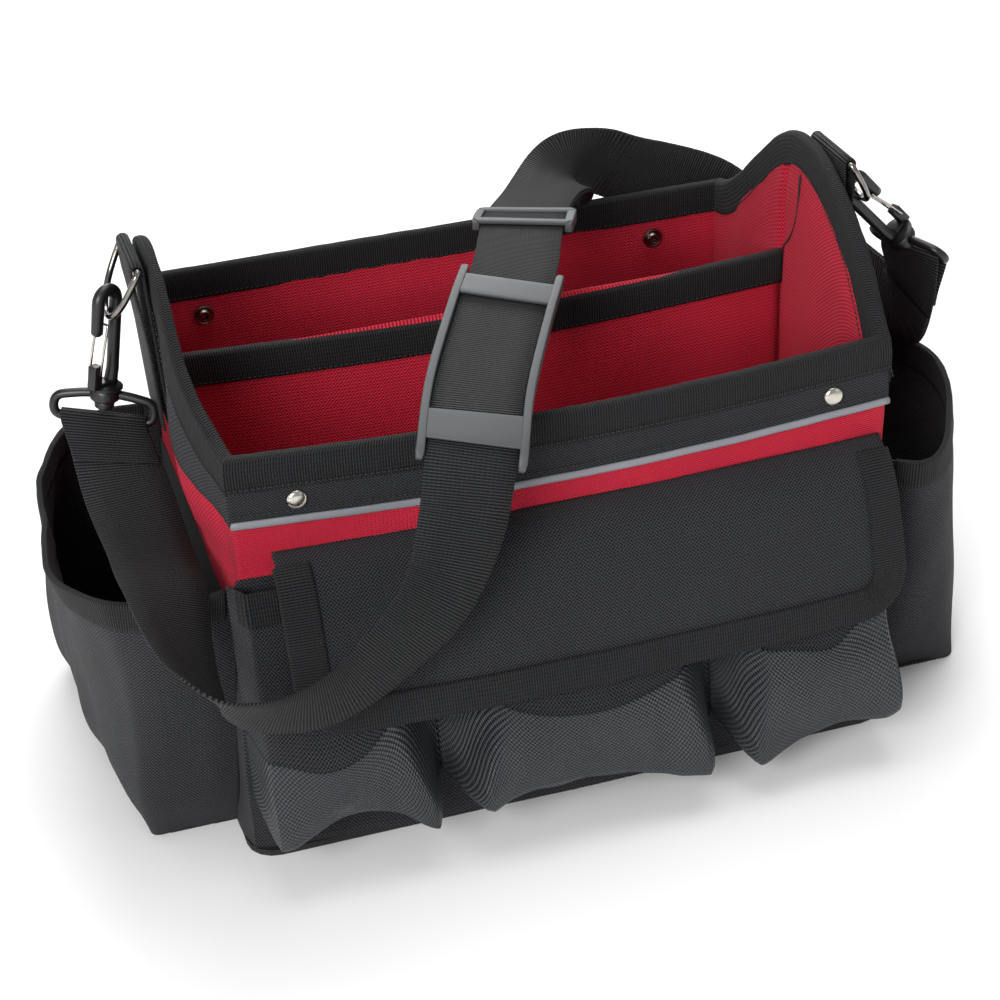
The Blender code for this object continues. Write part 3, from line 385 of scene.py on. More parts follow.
# Height of the lower edge of the black band, which follows half the gable's rise
def bandFoot(side, share):
    high = rimHeight(side, share)
    return high - band["height"] - band["gableShare"] * max(high - tub["wall"], 0.0)


def rimStretch(side, share):
    if side in ("front", "back"):
        return 1.0
    low, high = max(share - 0.01, 0.0), min(share + 0.01, 1.0)
    slope = (rimHeight(side, high) - rimHeight(side, low)) / ((high - low) * tub["depth"])
    return math.sqrt(1 + slope ** 2)


def rimPoint(station, drop, out):
    side, share = station
    z = rimHeight(side, share) - drop * rimStretch(side, share)
    return tubPoint(side, share, z, -out)


longShares = np.r_[0, 0.004, 0.011, np.linspace(0.03, 0.97, 64), 0.989, 0.996]
shortShares = np.r_[0, 0.006, 0.017, np.linspace(0.04, 0.96, 92), 0.983, 0.994]
ringStations = [("front", s) for s in longShares] + [("right", s) for s in shortShares]
ringStations += [("back", 1 - s) for s in longShares] + [("left", 1 - s) for s in shortShares]
perimeter = runs(np.array([tubPoint(side, s, 0.2) for side, s in ringStations + ringStations[:1]]))


# Metres from the nearest upright corner of the tub
def cornerDistance(point):
    left, right, front, back = sideLines(point[2])
    return min(math.hypot(point[0] - x, point[1] - y) for x in (left, right) for y in (front, back))


# Height where the red cloth ends: lower on the ends, behind the pockets
def redFoot(side, share):
    if side in ("front", "back"):
        return tub["redFoot"]
    return tub["redFoot"] - 0.034 * smoothStep(0.0, 0.07, share) * smoothStep(0.0, 0.07, 1 - share)


# A band of cloth right round the tub, between the heights that footAt and topAt give at each station.
# folds is (amount, size, seed). A band that reaches the floor is drawn in at its lower corners.
def tubSkin(name, levels, finish, inset, footAt, topAt, folds, thick, nodes=(), crown=0.0, toFloor=False):
    grid = np.array([[tubPoint(*station, lerp(footAt(*station), topAt(*station), t), inset)
                      for station in ringStations] for t in levels])
    if crown:
        swell = np.array([[abs(math.sin(math.pi * s)) ** 0.45 for _, s in ringStations]] * len(levels))
        rise = np.array([math.sin(math.pi * min(max(t, 0.0), 1.0)) ** 0.6 for t in levels])[:, None]
        grid = grid + normalsOf(grid, True) * (swell * rise * crown)[:, :, None]
    if toFloor:
        for point in grid.reshape(-1, 3):
            pull = cornerPull["reach"] * math.exp(-cornerDistance(point) / cornerPull["spread"])
            pull *= 1 - smoothStep(0.0, cornerPull["height"], point[2])
            point[0] -= math.copysign(pull, point[0])
            point[1] -= math.copysign(pull, point[1])
    footEase = 1.0 if toFloor else 0.0
    keep = np.array([min(1.0, 4 * (1 - t), 3 * t + footEase) for t in levels])[:, None]
    amount, size, seed = folds
    grid = crumple(grid, amount, size, seed, True, mask=np.ones(grid.shape[:2]) * keep)
    heights = np.mean(grid[:, :, 2], axis=1)
    return gridPiece(name, grid, finish, thick, around=True, nodes=nodes, u=perimeter, v=heights)


# Upper body in red oxford, lower body in black oxford, which overlap where they are sewn
print("tub")
cornerPull = {"reach": 0.0045, "spread": 0.014, "height": 0.06}
redOverlap, blackFoot = 0.006, 0.003
upperBody = tubSkin("upperBody", np.linspace(0, 1, 26), "redOxford", 0.0,
                    lambda side, share: redFoot(side, share) - redOverlap,
                    lambda side, share: bandFoot(side, share) + redOverlap, (0.0013, 0.045, 3.0), 0.0015,
                    nodes=("left_end_wall", "right_end_wall", "front_wall", "back_wall"), crown=0.001)
lowerBody = tubSkin("lowerBody", np.linspace(0, 1, 36), "blackOxford", -0.0013,
                    lambda side, share: blackFoot, redFoot, (0.0016, 0.05, 8.0), 0.0014, toFloor=True)


# Lining, band, tapes and piping round the rim

liningLook = {"inset": 0.0066, "pinched": 0.0044, "floor": 0.0066, "drop": 0.002, "belly": 0.0022,
              "wrinkle": 0.0018, "groove": 0.0030, "grooveWidth": 0.0030, "seamY": 0.012, "thick": 0.0011}
rows = []
liningLevels = np.linspace(0, 1, 40)
for t in liningLevels:
    row = []
    for side, share in ringStations:
        high = rimHeight(side, share) - liningLook["drop"]
        z = lerp(liningLook["floor"], high, t)
        pinch = 1 - smoothStep(0.010, 0.040, high - z)
        row.append(tubPoint(side, share, z, lerp(liningLook["inset"], liningLook["pinched"], pinch)))
    rows.append(row)
liningGrid = np.array(rows)
inward = -normalsOf(liningGrid, True)
swell = np.array([abs(math.sin(math.pi * s)) ** 0.4 for _, s in ringStations])[None, :]
rise = np.array([math.sin(math.pi * t) ** 0.5 if 0 < t < 1 else 0.0 for t in liningLevels])[:, None]
liningGrid = liningGrid + inward * (swell * rise * liningLook["belly"])[:, :, None]
# the seam where the divider is sewn to each end draws a groove
seam = np.zeros(liningGrid.shape[:2])
for j, (side, share) in enumerate(ringStations):
    if side in ("left", "right"):
        y = liningGrid[:, j, 1]
        seam[:, j] = np.exp(-((y - liningLook["seamY"]) / liningLook["grooveWidth"]) ** 2)
liningGrid = liningGrid - inward * (seam * liningLook["groove"])[:, :, None]
corner = np.array([[math.exp(-cornerDistance(p) / 0.035) for p in row] for row in liningGrid])
mask = (0.35 + 2.2 * corner) * np.array([min(1.0, 5 * (1 - t)) for t in liningLevels])[:, None]
liningGrid = crumple(liningGrid, liningLook["wrinkle"], 0.030, 11.0, True, mask=mask,
                     stretch=(1.0, 1.0, 0.55))
lining = gridPiece("lining_cloth", liningGrid, "redLining", liningLook["thick"], around=True,
                   nodes=("lining",), u=perimeter, v=np.mean(liningGrid[:, :, 2], axis=1), flip=True)

# the seam down the lining of the right end, as (y, z)
seamRoute = ((-0.014, 0.322), (-0.013, 0.306), (-0.010, 0.290), (-0.002, 0.276), (0.008, 0.266),
             (0.012, 0.258))
seamInset = 0.0079

floorLook = {"x": (-0.2075, 0.1945), "y": (-0.1405, 0.1285), "z": 0.0064, "wave": 0.0006}
floorGrid = np.array([[(x, y, floorLook["z"] + floorLook["wave"] * noise.noise(Vector((x, y, 0)) * 25))
                       for x in np.linspace(*floorLook["x"], 60)] for y in np.linspace(*floorLook["y"], 44)])
floorCloth = gridPiece("floorLining", floorGrid, "redLining", liningLook["thick"])

tapeLook = {"leg": 0.0190, "start": 0.0012, "thick": 0.0009, "wave": 0.00035, "waveSize": 0.012}


# Points (drop, out) of a tape folded over an edge, from its outer hem over the edge to its inner one
def foldedSection(outer, inner, crown=0.0):
    leg, start = tapeLook["leg"], tapeLook["start"]
    middle, radius = (outer - inner) / 2, (outer + inner) / 2
    section = [(leg, outer), (leg * 0.86, outer + 0.0003), (leg * 0.6, outer + 0.0002 + crown),
               (leg * 0.3, outer + 0.0001 + crown), (start, outer)]
    for step in range(1, 8):
        angle = math.pi * step / 8
        section.append((-0.55 * radius * math.sin(angle), middle + radius * math.cos(angle)))
    return section + [(start, -inner), (leg * 0.3, -inner - crown), (leg * 0.6, -inner - crown),
                      (leg * 0.86, -inner - 0.0002), (leg, -inner)]


# Folded tape; pointAt(i, drop, out) gives the place on the bound cloth
def tapeOver(name, pointAt, count, section, around=False, nodes=(), seed=1.0):
    grid = np.array([[pointAt(i, drop, out) for i in range(count)] for drop, out in section])
    grid = crumple(grid, tapeLook["wave"], tapeLook["waveSize"], seed, around)
    middle = grid[len(section) // 2]
    u = runs(np.concatenate([middle, middle[:1]]) if around else middle)
    return gridPiece(name, grid, "tape", tapeLook["thick"], around=around, nodes=nodes, u=u,
                     v=runs(np.array(section)))


# Tape over the top edge of a gathered cloth, from the margin'th column to the margin'th from the end
def mouthTape(name, grid, rowBelow, margin, section, seed, nodes):
    keep = slice(margin, -margin)
    edge, out, fall = grid[-1][keep], normalsOf(grid)[-1][keep], unit(grid[rowBelow] - grid[-1])[keep]
    return tapeOver(name, lambda i, drop, o: edge[i] + fall[i] * drop + out[i] * o, len(edge), section,
                    nodes=nodes, seed=seed)


bandSteps = 20
rows = [[tubPoint(*station, lerp(bandFoot(*station), rimHeight(*station) - 0.001, t),
                  -lerp(band["footOut"], band["out"], min(2 - 2 * t, 1))) for station in ringStations]
        for t in np.linspace(0, 1, bandSteps)]
bandGrid = crumple(np.array(rows), 0.0009, 0.035, 21.0, True)
topBand = gridPiece("topBand", bandGrid, "blackOxford", 0.0012, around=True, nodes=("top_band",),
                    u=perimeter, v=np.linspace(0, 0.048, bandSteps))

rimTape = tapeOver("rimTape", lambda i, drop, out: rimPoint(ringStations[i], drop, out), len(ringStations),
                   foldedSection(0.0024, 0.0056, 0.0003), around=True, nodes=("rim_binding",), seed=31.0)

# Reflective piping: a flat tape folded over a cord, so it stands a little proud
pipingLook = {"width": 0.0052, "rise": 0.0011, "drop": 0.040, "out": 0.0022, "wave": 0.0004}
shares = np.linspace(0.004, 0.998, 90)
rows = []
for t in np.linspace(-1, 1, 9):
    out = pipingLook["out"] + pipingLook["rise"] * math.sqrt(max(1 - t * t, 0.0))
    rows.append([rimPoint(("front", s), pipingLook["drop"] - t * pipingLook["width"] / 2
                          + pipingLook["wave"] * noise.noise(Vector((s * 14, 3, 1))), out) for s in shares])
piping = gridPiece("reflectivePiping", np.array(rows), "reflective", 0.0004, nodes=("reflective_piping",))

# Divider: a padded panel whose faces swell between its ends
print("divider")
dividerLook = {"y": 0.012, "drop": 0.002, "sag": 0.007, "half": 0.0025, "swell": 0.0028, "inset": 0.0082,
               "underTape": 0.0085, "foot": 0.0015, "tapeSteps": 110, "tapeHalf": 0.0042}


def dividerTop(share):
    return tub["wall"] - dividerLook["drop"] - dividerLook["sag"] * math.sin(math.pi * share)


def dividerPoint(share, drop, out):
    z = dividerTop(share) - drop
    depthShare = shareAcross(dividerLook["y"], z)
    left, right = (tubPoint(side, depthShare, z, dividerLook["inset"])[0] for side in ("left", "right"))
    return np.array((lerp(left, right, share), dividerLook["y"] - out, z))


levels = np.linspace(0, 1, 36)
across = np.linspace(0, 1, 70)
faces = []
for t in levels:
    row = []
    for sign, order in ((1, across), (-1, across[::-1])):
        for s in order:
            full = dividerLook["half"] + dividerLook["swell"] * (math.sin(math.pi * s) ** 0.4) * (
                math.sin(math.pi * min(t * 1.06, 1.0)) ** 0.5 if 0 < t * 1.06 < 1 else 0.0)
            full *= 0.25 + 0.75 * min(1.0, 12 * s, 12 * (1 - s))
            top = dividerTop(s)
            drop = top - lerp(dividerLook["underTape"], top - dividerLook["foot"], t)
            row.append(dividerPoint(s, drop, sign * full))
    faces.append(row)
dividerGrid = crumple(np.array(faces), 0.0010, 0.055, 41.0, True)
dividerPanel = gridPiece("dividerPanel", dividerGrid, "redLining", around=True, nodes=("divider",),
                         caps=True)
lastStep = dividerLook["tapeSteps"] - 1
dividerTape = tapeOver("dividerTape", lambda i, drop, out: dividerPoint(i / lastStep, drop, out),
                       dividerLook["tapeSteps"],
                       foldedSection(dividerLook["tapeHalf"], dividerLook["tapeHalf"], 0.0005),
                       nodes=("divider_binding",), seed=43.0)


# Front pouches: oxford above, PVC coated cloth below, gathered to pointed lower corners
print("pouches")
pouchHeight, seamGap = 0.184, 0.0013
pouchReach = 0.050
pouchSection = (
    # share of the way down, share of reach
    (0.00, 0.30), (0.12, 0.37), (0.25, 0.43), (0.40, 0.50), (0.55, 0.56), (0.66, 0.66), (0.75, 0.80),
    (0.85, 0.93), (0.94, 1.00), (1.00, 0.97))
pouches = {
    # foot and seam are heights, as (x, z), of the lower edge and of the seam between the two cloths. valley
    # is the share over which the cloth rises from its left and its right side, at the mouth and at the
    # foot. flat is the length of the cut cloth and of its tape.
    "left": {
        "span": (-0.208, -0.0945), "valley": ((0.07, 0.05), (0.34, 0.13)), "flat": (0.26, 0.24),
        "foot": ((-0.208, 0.043), (-0.200, 0.039), (-0.176, 0.047), (-0.153, 0.054), (-0.131, 0.047),
                 (-0.108, 0.032), (-0.0945, 0.038)),
        "seam": ((-0.208, 0.088), (-0.189, 0.083), (-0.170, 0.079), (-0.145, 0.086), (-0.120, 0.104),
                 (-0.0945, 0.124))},
    "middle": {
        "span": (-0.0935, 0.0795), "valley": ((0.24, 0.11), (0.20, 0.11)), "flat": (0.32, 0.29),
        "foot": ((-0.0935, 0.040), (-0.083, 0.034), (-0.062, 0.045), (-0.020, 0.046), (0.012, 0.042),
                 (0.052, 0.031), (0.068, 0.029), (0.0795, 0.036)),
        "seam": ((-0.0935, 0.112), (-0.052, 0.090), (-0.015, 0.082), (0.020, 0.083), (0.060, 0.092),
                 (0.0795, 0.104))},
    "right": {
        "span": (0.0805, 0.1965), "valley": ((0.26, 0.13), (0.10, 0.07)), "flat": (0.26, 0.24),
        "foot": ((0.0805, 0.038), (0.092, 0.027), (0.110, 0.031), (0.130, 0.037), (0.150, 0.041),
                 (0.178, 0.038), (0.190, 0.042), (0.1965, 0.050)),
        "seam": ((0.0805, 0.104), (0.100, 0.092), (0.120, 0.088), (0.150, 0.085), (0.172, 0.096),
                 (0.1965, 0.106))},
}


def wallY(x, z):
    return tubPoint("front", shareAlong(x, z), z)[1] - seamGap


def pouchPoint(pouch, share, down):
    left, right = pouch["span"]
    x = lerp(left, right, share)
    foot = smoothAlong(pouch["foot"], x)
    z = lerp(pouchHeight, foot, down)
    drawn = smoothStep(0.55, 0.98, down)
    near, far = (smoothStep(0.0, lerp(*widths, drawn), s) for widths, s in
                 ((pouch["valley"][0], share), (pouch["valley"][1], 1 - share)))
    reach = smoothAlong(pouchSection, down)
    # between its drawn lower corners the cloth tucks in under the pouch
    middle = 1 - smoothStep(0.12, 0.40, abs(share - 0.5))
    reach -= 0.06 * middle * smoothStep(0.72, 1.0, down)
    return np.array((x, wallY(x, z) - pouchReach * reach * min(near, far), z))


pouchShares = np.r_[0, 0.008, 0.02, 0.035, np.linspace(0.055, 0.945, 54), 0.965, 0.98, 0.992, 1]
for label, pouch in pouches.items():
    seed = 50.0 + len(label)
    left, right = pouch["span"]
    rows = {"upper": [], "lower": []}
    for part, count in (("upper", 34), ("lower", 30)):
        for i in range(count):
            row = []
            for share in pouchShares:
                x = lerp(left, right, share)
                foot = smoothAlong(pouch["foot"], x)
                seamDown = (pouchHeight - smoothAlong(pouch["seam"], x)) / (pouchHeight - foot)
                t = i / (count - 1)
                down = lerp(0.0, seamDown + 0.03, t) if part == "upper" else lerp(seamDown, 1.0, t)
                row.append(pouchPoint(pouch, share, down))
            rows[part].append(row)
    # under its lower edge the cloth turns back to the wall
    for back, lift in ((0.985, -0.0025), (0.90, -0.001), (0.65, 0.000), (0.30, 0.002), (0.0, 0.003)):
        row = []
        for share in pouchShares:
            point = pouchPoint(pouch, share, 1.0)
            wall = wallY(point[0], point[2])
            row.append(np.array((point[0], lerp(wall, point[1], back), point[2] + lift)))
        rows["lower"].append(row)
    for part, finish, thick in (("upper", "blackOxford", 0.0014), ("lower", "coatedCloth", 0.0016)):
        grid = np.array(rows[part][::-1])
        if part == "lower":
            grid = grid + normalsOf(grid) * 0.0006
        reachShare = np.array([[min(1.0, 9 * min(s, 1 - s)) for s in pouchShares]] * grid.shape[0])
        grid = crumple(grid, 0.0034, 0.046, seed, mask=reachShare, stretch=(1.2, 1.0, 0.7))
        nodes = ("front_pouch_" + label,) if part == "upper" else ()
        piece = gridPiece(f"pouch{part.capitalize()}_{label}", grid, finish, thick, nodes=nodes)
        if part == "upper":
            mouthGrid = grid
    tape = mouthTape("pouchTape_" + label, mouthGrid, -5, 3, foldedSection(0.0009, 0.0024), seed,
                     ("pouch_binding_" + label,))


# Flap over the pouches, with tape on its two sides and lower edge
print("flap")
flap = {"left": -0.180, "right": 0.196, "top": 0.201, "bottom": 0.101, "reach": 0.045, "corner": 0.030}
flapSection = (
    # share of the way down, share of reach
    (0.00, 0.00), (0.06, 0.24), (0.15, 0.44), (0.32, 0.62), (0.52, 0.77), (0.76, 0.90), (1.00, 1.00))


def flapPoint(x, drop, out=0.0):
    fall = flap["top"] - flap["bottom"]
    down = min(max(drop / fall, 0.0), 1.0)
    y = wallY(x, flap["top"]) - flap["reach"] * smoothAlong(flapSection, down)
    lean = smoothAlong(flapSection, min(down + 0.02, 1.0)) - smoothAlong(flapSection, max(down - 0.02, 0.0))
    lean *= flap["reach"] / (fall * (min(down + 0.02, 1.0) - max(down - 0.02, 0.0)))
    normal = np.array((0.0, -1.0, lean)) / math.hypot(1.0, lean)
    wave = 0.0016 * noise.noise(Vector((x * 22, drop * 14, 3.0))) * min(1.0, 3 * down)
    wave += 0.0012 * noise.noise(Vector((x * 9, drop * 6, 7.0))) * min(1.0, 3 * down)
    return np.array((x, y, flap["top"] - drop)) + normal * (out + wave)


fall = flap["top"] - flap["bottom"]
flapDowns = np.r_[np.linspace(0, 0.12, 10), np.linspace(0.14, 0.70, 24), np.linspace(0.72, 1.0, 24)]
rows, sideEdge = [], []
for down in flapDowns:
    over = max(fall * (down - 1) + flap["corner"], 0.0)
    bend = flap["corner"] - math.sqrt(flap["corner"] ** 2 - over ** 2)
    sideEdge.append((flap["left"] + bend, fall * down))
    rows.append([flapPoint(lerp(flap["left"] + bend, flap["right"] - bend, s), fall * down)
                 for s in np.linspace(0, 1, 110)])
flapCloth = gridPiece("flapCloth", np.array(rows[::-1]), "blackOxford", 0.0024, nodes=("front_flap",))
lower = [(x, fall) for x in np.linspace(flap["left"] + flap["corner"], flap["right"] - flap["corner"], 90)]
other = [(flap["left"] + flap["right"] - x, y) for x, y in sideEdge[::-1]]
hemLine = np.array(sideEdge[4:-1] + lower + other[1:-4])


def hemPoint(i, drop, out):
    ahead, behind = hemLine[min(i + 1, len(hemLine) - 1)], hemLine[max(i - 1, 0)]
    run = (ahead - behind) / np.linalg.norm(ahead - behind)
    x, y = hemLine[i] + np.array((run[1], -run[0])) * drop
    return flapPoint(x, y, out)


flapTape = tapeOver("flapTape", hemPoint, len(hemLine), foldedSection(0.0010, 0.0034, 0.0002),
                    nodes=("flap_binding",), seed=61.0)

# End pockets: one sheet round each end, out at the mouth and drawn in at the foot
print("end pockets")
pocketHeight, pocketGap = 0.178, 0.0004
leftPlan = (
    # mouth out, mouth along, belly out, belly along, foot out, foot along
    (0.000, 0.90, 0.000, 0.88, 0.000, 0.84), (0.090, 0.92, 0.100, 0.90, 0.090, 0.85),
    (0.158, 0.83, 0.200, 0.85, 0.170, 0.80), (0.205, 0.50, 0.212, 0.50, 0.168, 0.45),
    (0.236, 0.00, 0.208, 0.00, 0.148, 0.00), (0.238, -0.42, 0.192, -0.42, 0.136, -0.42),
    (0.206, -0.80, 0.165, -0.76, 0.128, -0.68), (0.150, -0.95, 0.138, -0.88, 0.122, -0.78),
    (0.060, -1.00, 0.060, -0.92, 0.060, -0.79), (0.000, -0.97, 0.000, -0.90, 0.000, -0.80))
rightPlan = (
    (0.000, 0.90, 0.000, 0.88, 0.000, 0.84), (0.090, 0.86, 0.090, 0.86, 0.080, 0.82),
    (0.158, 0.62, 0.165, 0.66, 0.160, 0.70), (0.205, 0.26, 0.205, 0.30, 0.190, 0.34),
    (0.240, -0.02, 0.225, 0.00, 0.200, 0.00), (0.230, -0.28, 0.222, -0.32, 0.190, -0.36),
    (0.180, -0.62, 0.195, -0.62, 0.180, -0.62), (0.118, -0.93, 0.140, -0.86, 0.166, -0.75),
    (0.058, -1.08, 0.070, -0.94, 0.080, -0.75), (0.004, -0.97, 0.000, -0.90, 0.000, -0.76))
pocketLevels = (
    # share of height from the foot, share of the belly plan, share of the foot plan
    (0.00, 0.0, 1.0), (0.16, 0.75, 0.25), (0.42, 1.0, 0.0), (0.72, 0.55, 0.0), (0.87, 0.255, 0.0),
    (1.00, 0.0, 0.0))


def pocketWall(side, y, z):
    return tubPoint(side, min(max(shareAcross(y, z), 0.0), 1.0), z)[0]


def pocketPoint(side, plan, at, height, out=0.0):
    belly, foot = (smoothAlong(pocketLevels, height, column) for column in (1, 2))
    values = [smoothAlong([(i, *row) for i, row in enumerate(plan)], at, column + 1) for column in range(6)]
    mouth = 1 - belly - foot
    reach = values[0] * mouth + values[2] * belly + values[4] * foot
    y = (values[1] * mouth + values[3] * belly + values[5] * foot) * tub["depth"] / 2
    z = pocketHeight * height
    sign = -1 if side == "left" else 1
    out += pocketGap + tub["length"] * max(reach, 0.0)
    return np.array((pocketWall(side, y, z) + sign * out, y, z))


pocketFoot = {"wall": 0.001, "z": 0.0012}
for side, plan, seed in (("left", leftPlan, 71.0), ("right", rightPlan, 78.0)):
    stations = np.linspace(0, len(plan) - 1, 120)
    heights = np.linspace(0.004, 1, 64)
    grid = np.array([[pocketPoint(side, plan, at, h) for at in stations] for h in heights])
    reachShare = np.array([[min(1.0, at, len(plan) - 1 - at) for at in stations]] * len(heights))
    if side == "right":
        grid, reachShare = grid[:, ::-1], reachShare[:, ::-1]
    grid = crumple(grid, 0.0040, 0.060, seed, mask=reachShare, stretch=(1.0, 1.0, 0.45))
    piece = gridPiece(side + "PocketCloth", grid, "blackOxford", 0.0016, nodes=(side + "_pocket",))
    tape = mouthTape(side + "PocketTape", grid, -7, 4, foldedSection(0.0010, 0.0028), 83.0,
                     (side + "_pocket_binding",))
    floor = np.array([[lerp(np.array((pocketWall(side, p[1], pocketFoot["wall"]), p[1], pocketFoot["z"])),
                            np.array((p[0], p[1], pocketFoot["z"])), t) for p in grid[0]]
                      for t in np.linspace(0.02, 0.985, 12)])
    footCloth = gridPiece(side + "PocketFloor", floor, "blackOxford", 0.0010, side=1.0, flip=True)

# Tabs, rings and hooks
print("hardware")
hardware = {"ringWire": 0.0040, "ringDrop": 0.038, "tabBottom": 0.236, "tabLength": 0.104,
            "webWidth": 0.0508, "webThick": 0.0016, "hookWire": 0.0062, "hookHeight": 0.066,
            "eyeWidth": 0.0145, "spineOffset": 0.0055, "noseLength": 0.0185, "gap": 0.0004,
            "heelWidth": 0.0064, "hinge": 0.0115, "gateTop": 0.0425, "gateBar": 0.0008, "bossHeight": 0.0072,
            "headGap": 0.0009, "loopBar": 0.0028, "loopGap": 0.0003, "loopHeight": 0.017, "loopHalf": 0.030}
sides = {
    "left": {"tabY": -0.008, "ringSwing": 28.0, "origin": (-0.247136, -0.008, 0.258959),
             "shank": (0.170074, 0.0, 0.985431), "hookTurn": 37.0, "loopTurn": -17.0},
    "right": {"tabY": -0.025, "ringSwing": 30.0, "origin": (0.262839, -0.015371, 0.272307),
              "shank": (-0.661989, -0.200603, 0.72217), "hookTurn": 205.0, "loopTurn": -64.0}}
# how far the tabs stand off the wall, clear of the band and of the rim's tape
clearOfRim = 0.0018 + 0.0008 + 0.0011
foldRadius = hardware["ringWire"] / 2 + hardware["gap"] + hardware["webThick"] / 2
loopTop = -hardware["bossHeight"] / 2 - hardware["loopGap"]
loopFoot = loopTop - hardware["loopHeight"]


# A frame whose Z runs along up, with its X turned by so many degrees
def frameFrom(origin, up, turn):
    z = Vector(up).normalized()
    x = (Vector((1, 0, 0)) - z * z.x).normalized()
    x = Matrix.Rotation(math.radians(turn), 3, z) @ x
    placed = Matrix((x, z.cross(x), z)).transposed().to_4x4()
    placed.translation = Vector(origin)
    return placed


# A round bar along a path; radii is one number or one for each point
def sweep(name, path, radii, finish, body="tote", nodes=(), closed=False, around=18):
    path = [Vector(p) for p in path]
    count = len(path)
    radii = [radii] * count if isinstance(radii, float) else [float(r) for r in radii]
    rows, normal = [], None
    for i, point in enumerate(path):
        ahead = path[(i + 1) % count] if closed else path[min(i + 1, count - 1)]
        behind = path[i - 1] if closed or i else path[0]
        tangent = (ahead - behind).normalized()
        if normal is None:
            normal = tangent.orthogonal().normalized()
        normal = (normal - tangent * normal.dot(tangent)).normalized()
        other = tangent.cross(normal)
        angles = [2 * math.pi * k / around for k in range(around)]
        rows.append([point + radii[i] * (normal * math.cos(a) + other * math.sin(a)) for a in angles])
    if closed:
        rows.append(rows[0])
    piece = gridPiece(name, np.array([[tuple(p) for p in row] for row in rows]), finish, around=True,
                      body=body, nodes=nodes, caps=not closed)
    tidy(piece)
    return piece


# Merges doubled points and turns the faces outwards. Edges past sharp degrees stay crisp.
def tidy(piece, sharp=None):
    bm = bmesh.new()
    bm.from_mesh(piece.data)
    bmesh.ops.remove_doubles(bm, verts=bm.verts, dist=1e-6)
    bmesh.ops.recalc_face_normals(bm, faces=bm.faces)
    if sharp:
        for edge in bm.edges:
            edge.smooth = len(edge.link_faces) == 2 and edge.calc_face_angle(0.0) < math.radians(sharp)
    bm.to_mesh(piece.data)
    bm.free()


# The path through points with its corners rounded
def roundedPath(points, radius, steps=6, closed=False):
    points = [Vector(p) for p in points]
    count, path = len(points), []
    for i, point in enumerate(points):
        if not closed and i in (0, count - 1):
            path.append(point)
            continue
        before, after = points[i - 1], points[(i + 1) % count]
        inDir, outDir = (before - point), (after - point)
        reach = min(radius, inDir.length * 0.49, outDir.length * 0.49)
        start, end = point + inDir.normalized() * reach, point + outDir.normalized() * reach
        for k in range(steps + 1):
            t = k / steps
            path.append(start.lerp(point, t).lerp(point.lerp(end, t), t))
    return path


# The mesh in bm as a piece with rounded edges: those past an angle in degrees, where one is given
def roundedPiece(name, bm, width, finish, body="tote", nodes=(), angle=None):
    mesh = bpy.data.meshes.new(name)
    bm.to_mesh(mesh)
    bm.free()
    piece = addObject(name, mesh)
    edges = piece.modifiers.new("rounded edges", "BEVEL")
    edges.width = width
    edges.segments = 3
    if angle:
        edges.limit_method = "ANGLE"
        edges.angle_limit = math.radians(angle)
    return place(piece, finish, body, nodes)


# Moulded blocks, each (centre, size), with rounded edges, as one piece
def blockPiece(name, matrix, boxes, finish, body, bevel):
    bm = bmesh.new()
    for centre, size in boxes:
        block = Matrix.Translation(centre) @ Matrix.Diagonal((*size, 1.0))
        bmesh.ops.create_cube(bm, size=1.0, matrix=block)
    bm.transform(matrix)
    return roundedPiece(name, bm, bevel, finish, body)


# A turned piece: profile is (radius, height) from the bottom up
def turnedPiece(name, matrix, profile, finish, body="tote", nodes=(), segments=40):
    profile = np.array(profile)
    angles = np.linspace(0, 2 * math.pi, segments, endpoint=False)
    grid = np.array([[tuple(matrix @ Vector((r * math.cos(a), r * math.sin(a), h))) for a in angles]
                     for r, h in profile])
    piece = gridPiece(name, grid, finish, around=True, body=body, nodes=nodes)
    tidy(piece, 40)
    return piece


# The upper and lower end of a tab's fold, in its middle
def tabTop(side):
    y, sign = sides[side]["tabY"], -1 if side == "left" else 1
    topZ = hardware["tabBottom"] + hardware["tabLength"]
    out = clearOfRim + hardware["webThick"] + foldRadius
    return (Vector((pocketWall(side, y, topZ) + sign * out, y, topZ)),
            Vector((pocketWall(side, y, hardware["tabBottom"]) + sign * out, y, hardware["tabBottom"])))


# Flat webbing through the points of its middle line, each with its direction of width. Where loose is 1
# the width keeps its direction, as where webbing leaves a bar at a slant.
def webbingPiece(name, line, widths, nodes=(), loose=0.0):
    half, edge, rounded = hardware["webWidth"] / 2, hardware["webThick"] / 2, 0.0004
    section = [(-half, 0.0), (-half + rounded, -edge), (-half * 0.5, -edge), (0, -edge), (half * 0.5, -edge),
               (half - rounded, -edge), (half, 0.0), (half - rounded, edge), (half * 0.5, edge), (0, edge),
               (-half * 0.5, edge), (-half + rounded, edge)]
    line, widths = np.array(line), np.array(widths)
    forward = unit(np.gradient(line, axis=0))
    widths = unit(widths - forward * np.sum(widths * forward, axis=1, keepdims=True) * (1 - loose))
    normals = unit(np.cross(widths, forward))
    grid = []
    for i, point in enumerate(line):
        bite = webbingTooth * (1 if i % 2 else -1)
        grid.append([point + widths[i] * (a + math.copysign(bite, a) * (abs(a) > half * 0.9))
                     + normals[i] * b for a, b in section])
    # the distances round the section, in millimetres: one face, an edge and the other face
    u = np.array([0, 0.4, 13, 25.4, 38, 50.4, 50.8, 51.2, 64, 76, 89, 101.2, 101.6]) / 1000
    piece = gridPiece(name, np.array(grid), "webbing", around=True, nodes=nodes, u=u, v=runs(line),
                      caps=True)
    tidy(piece)
    return piece, runs(line)[-1], normals


# The point at a distance along a table of points, whose distances are in reach
def pointAlong(distance, reach, table):
    return np.array([np.interp(distance, reach, table[:, k]) for k in range(3)])


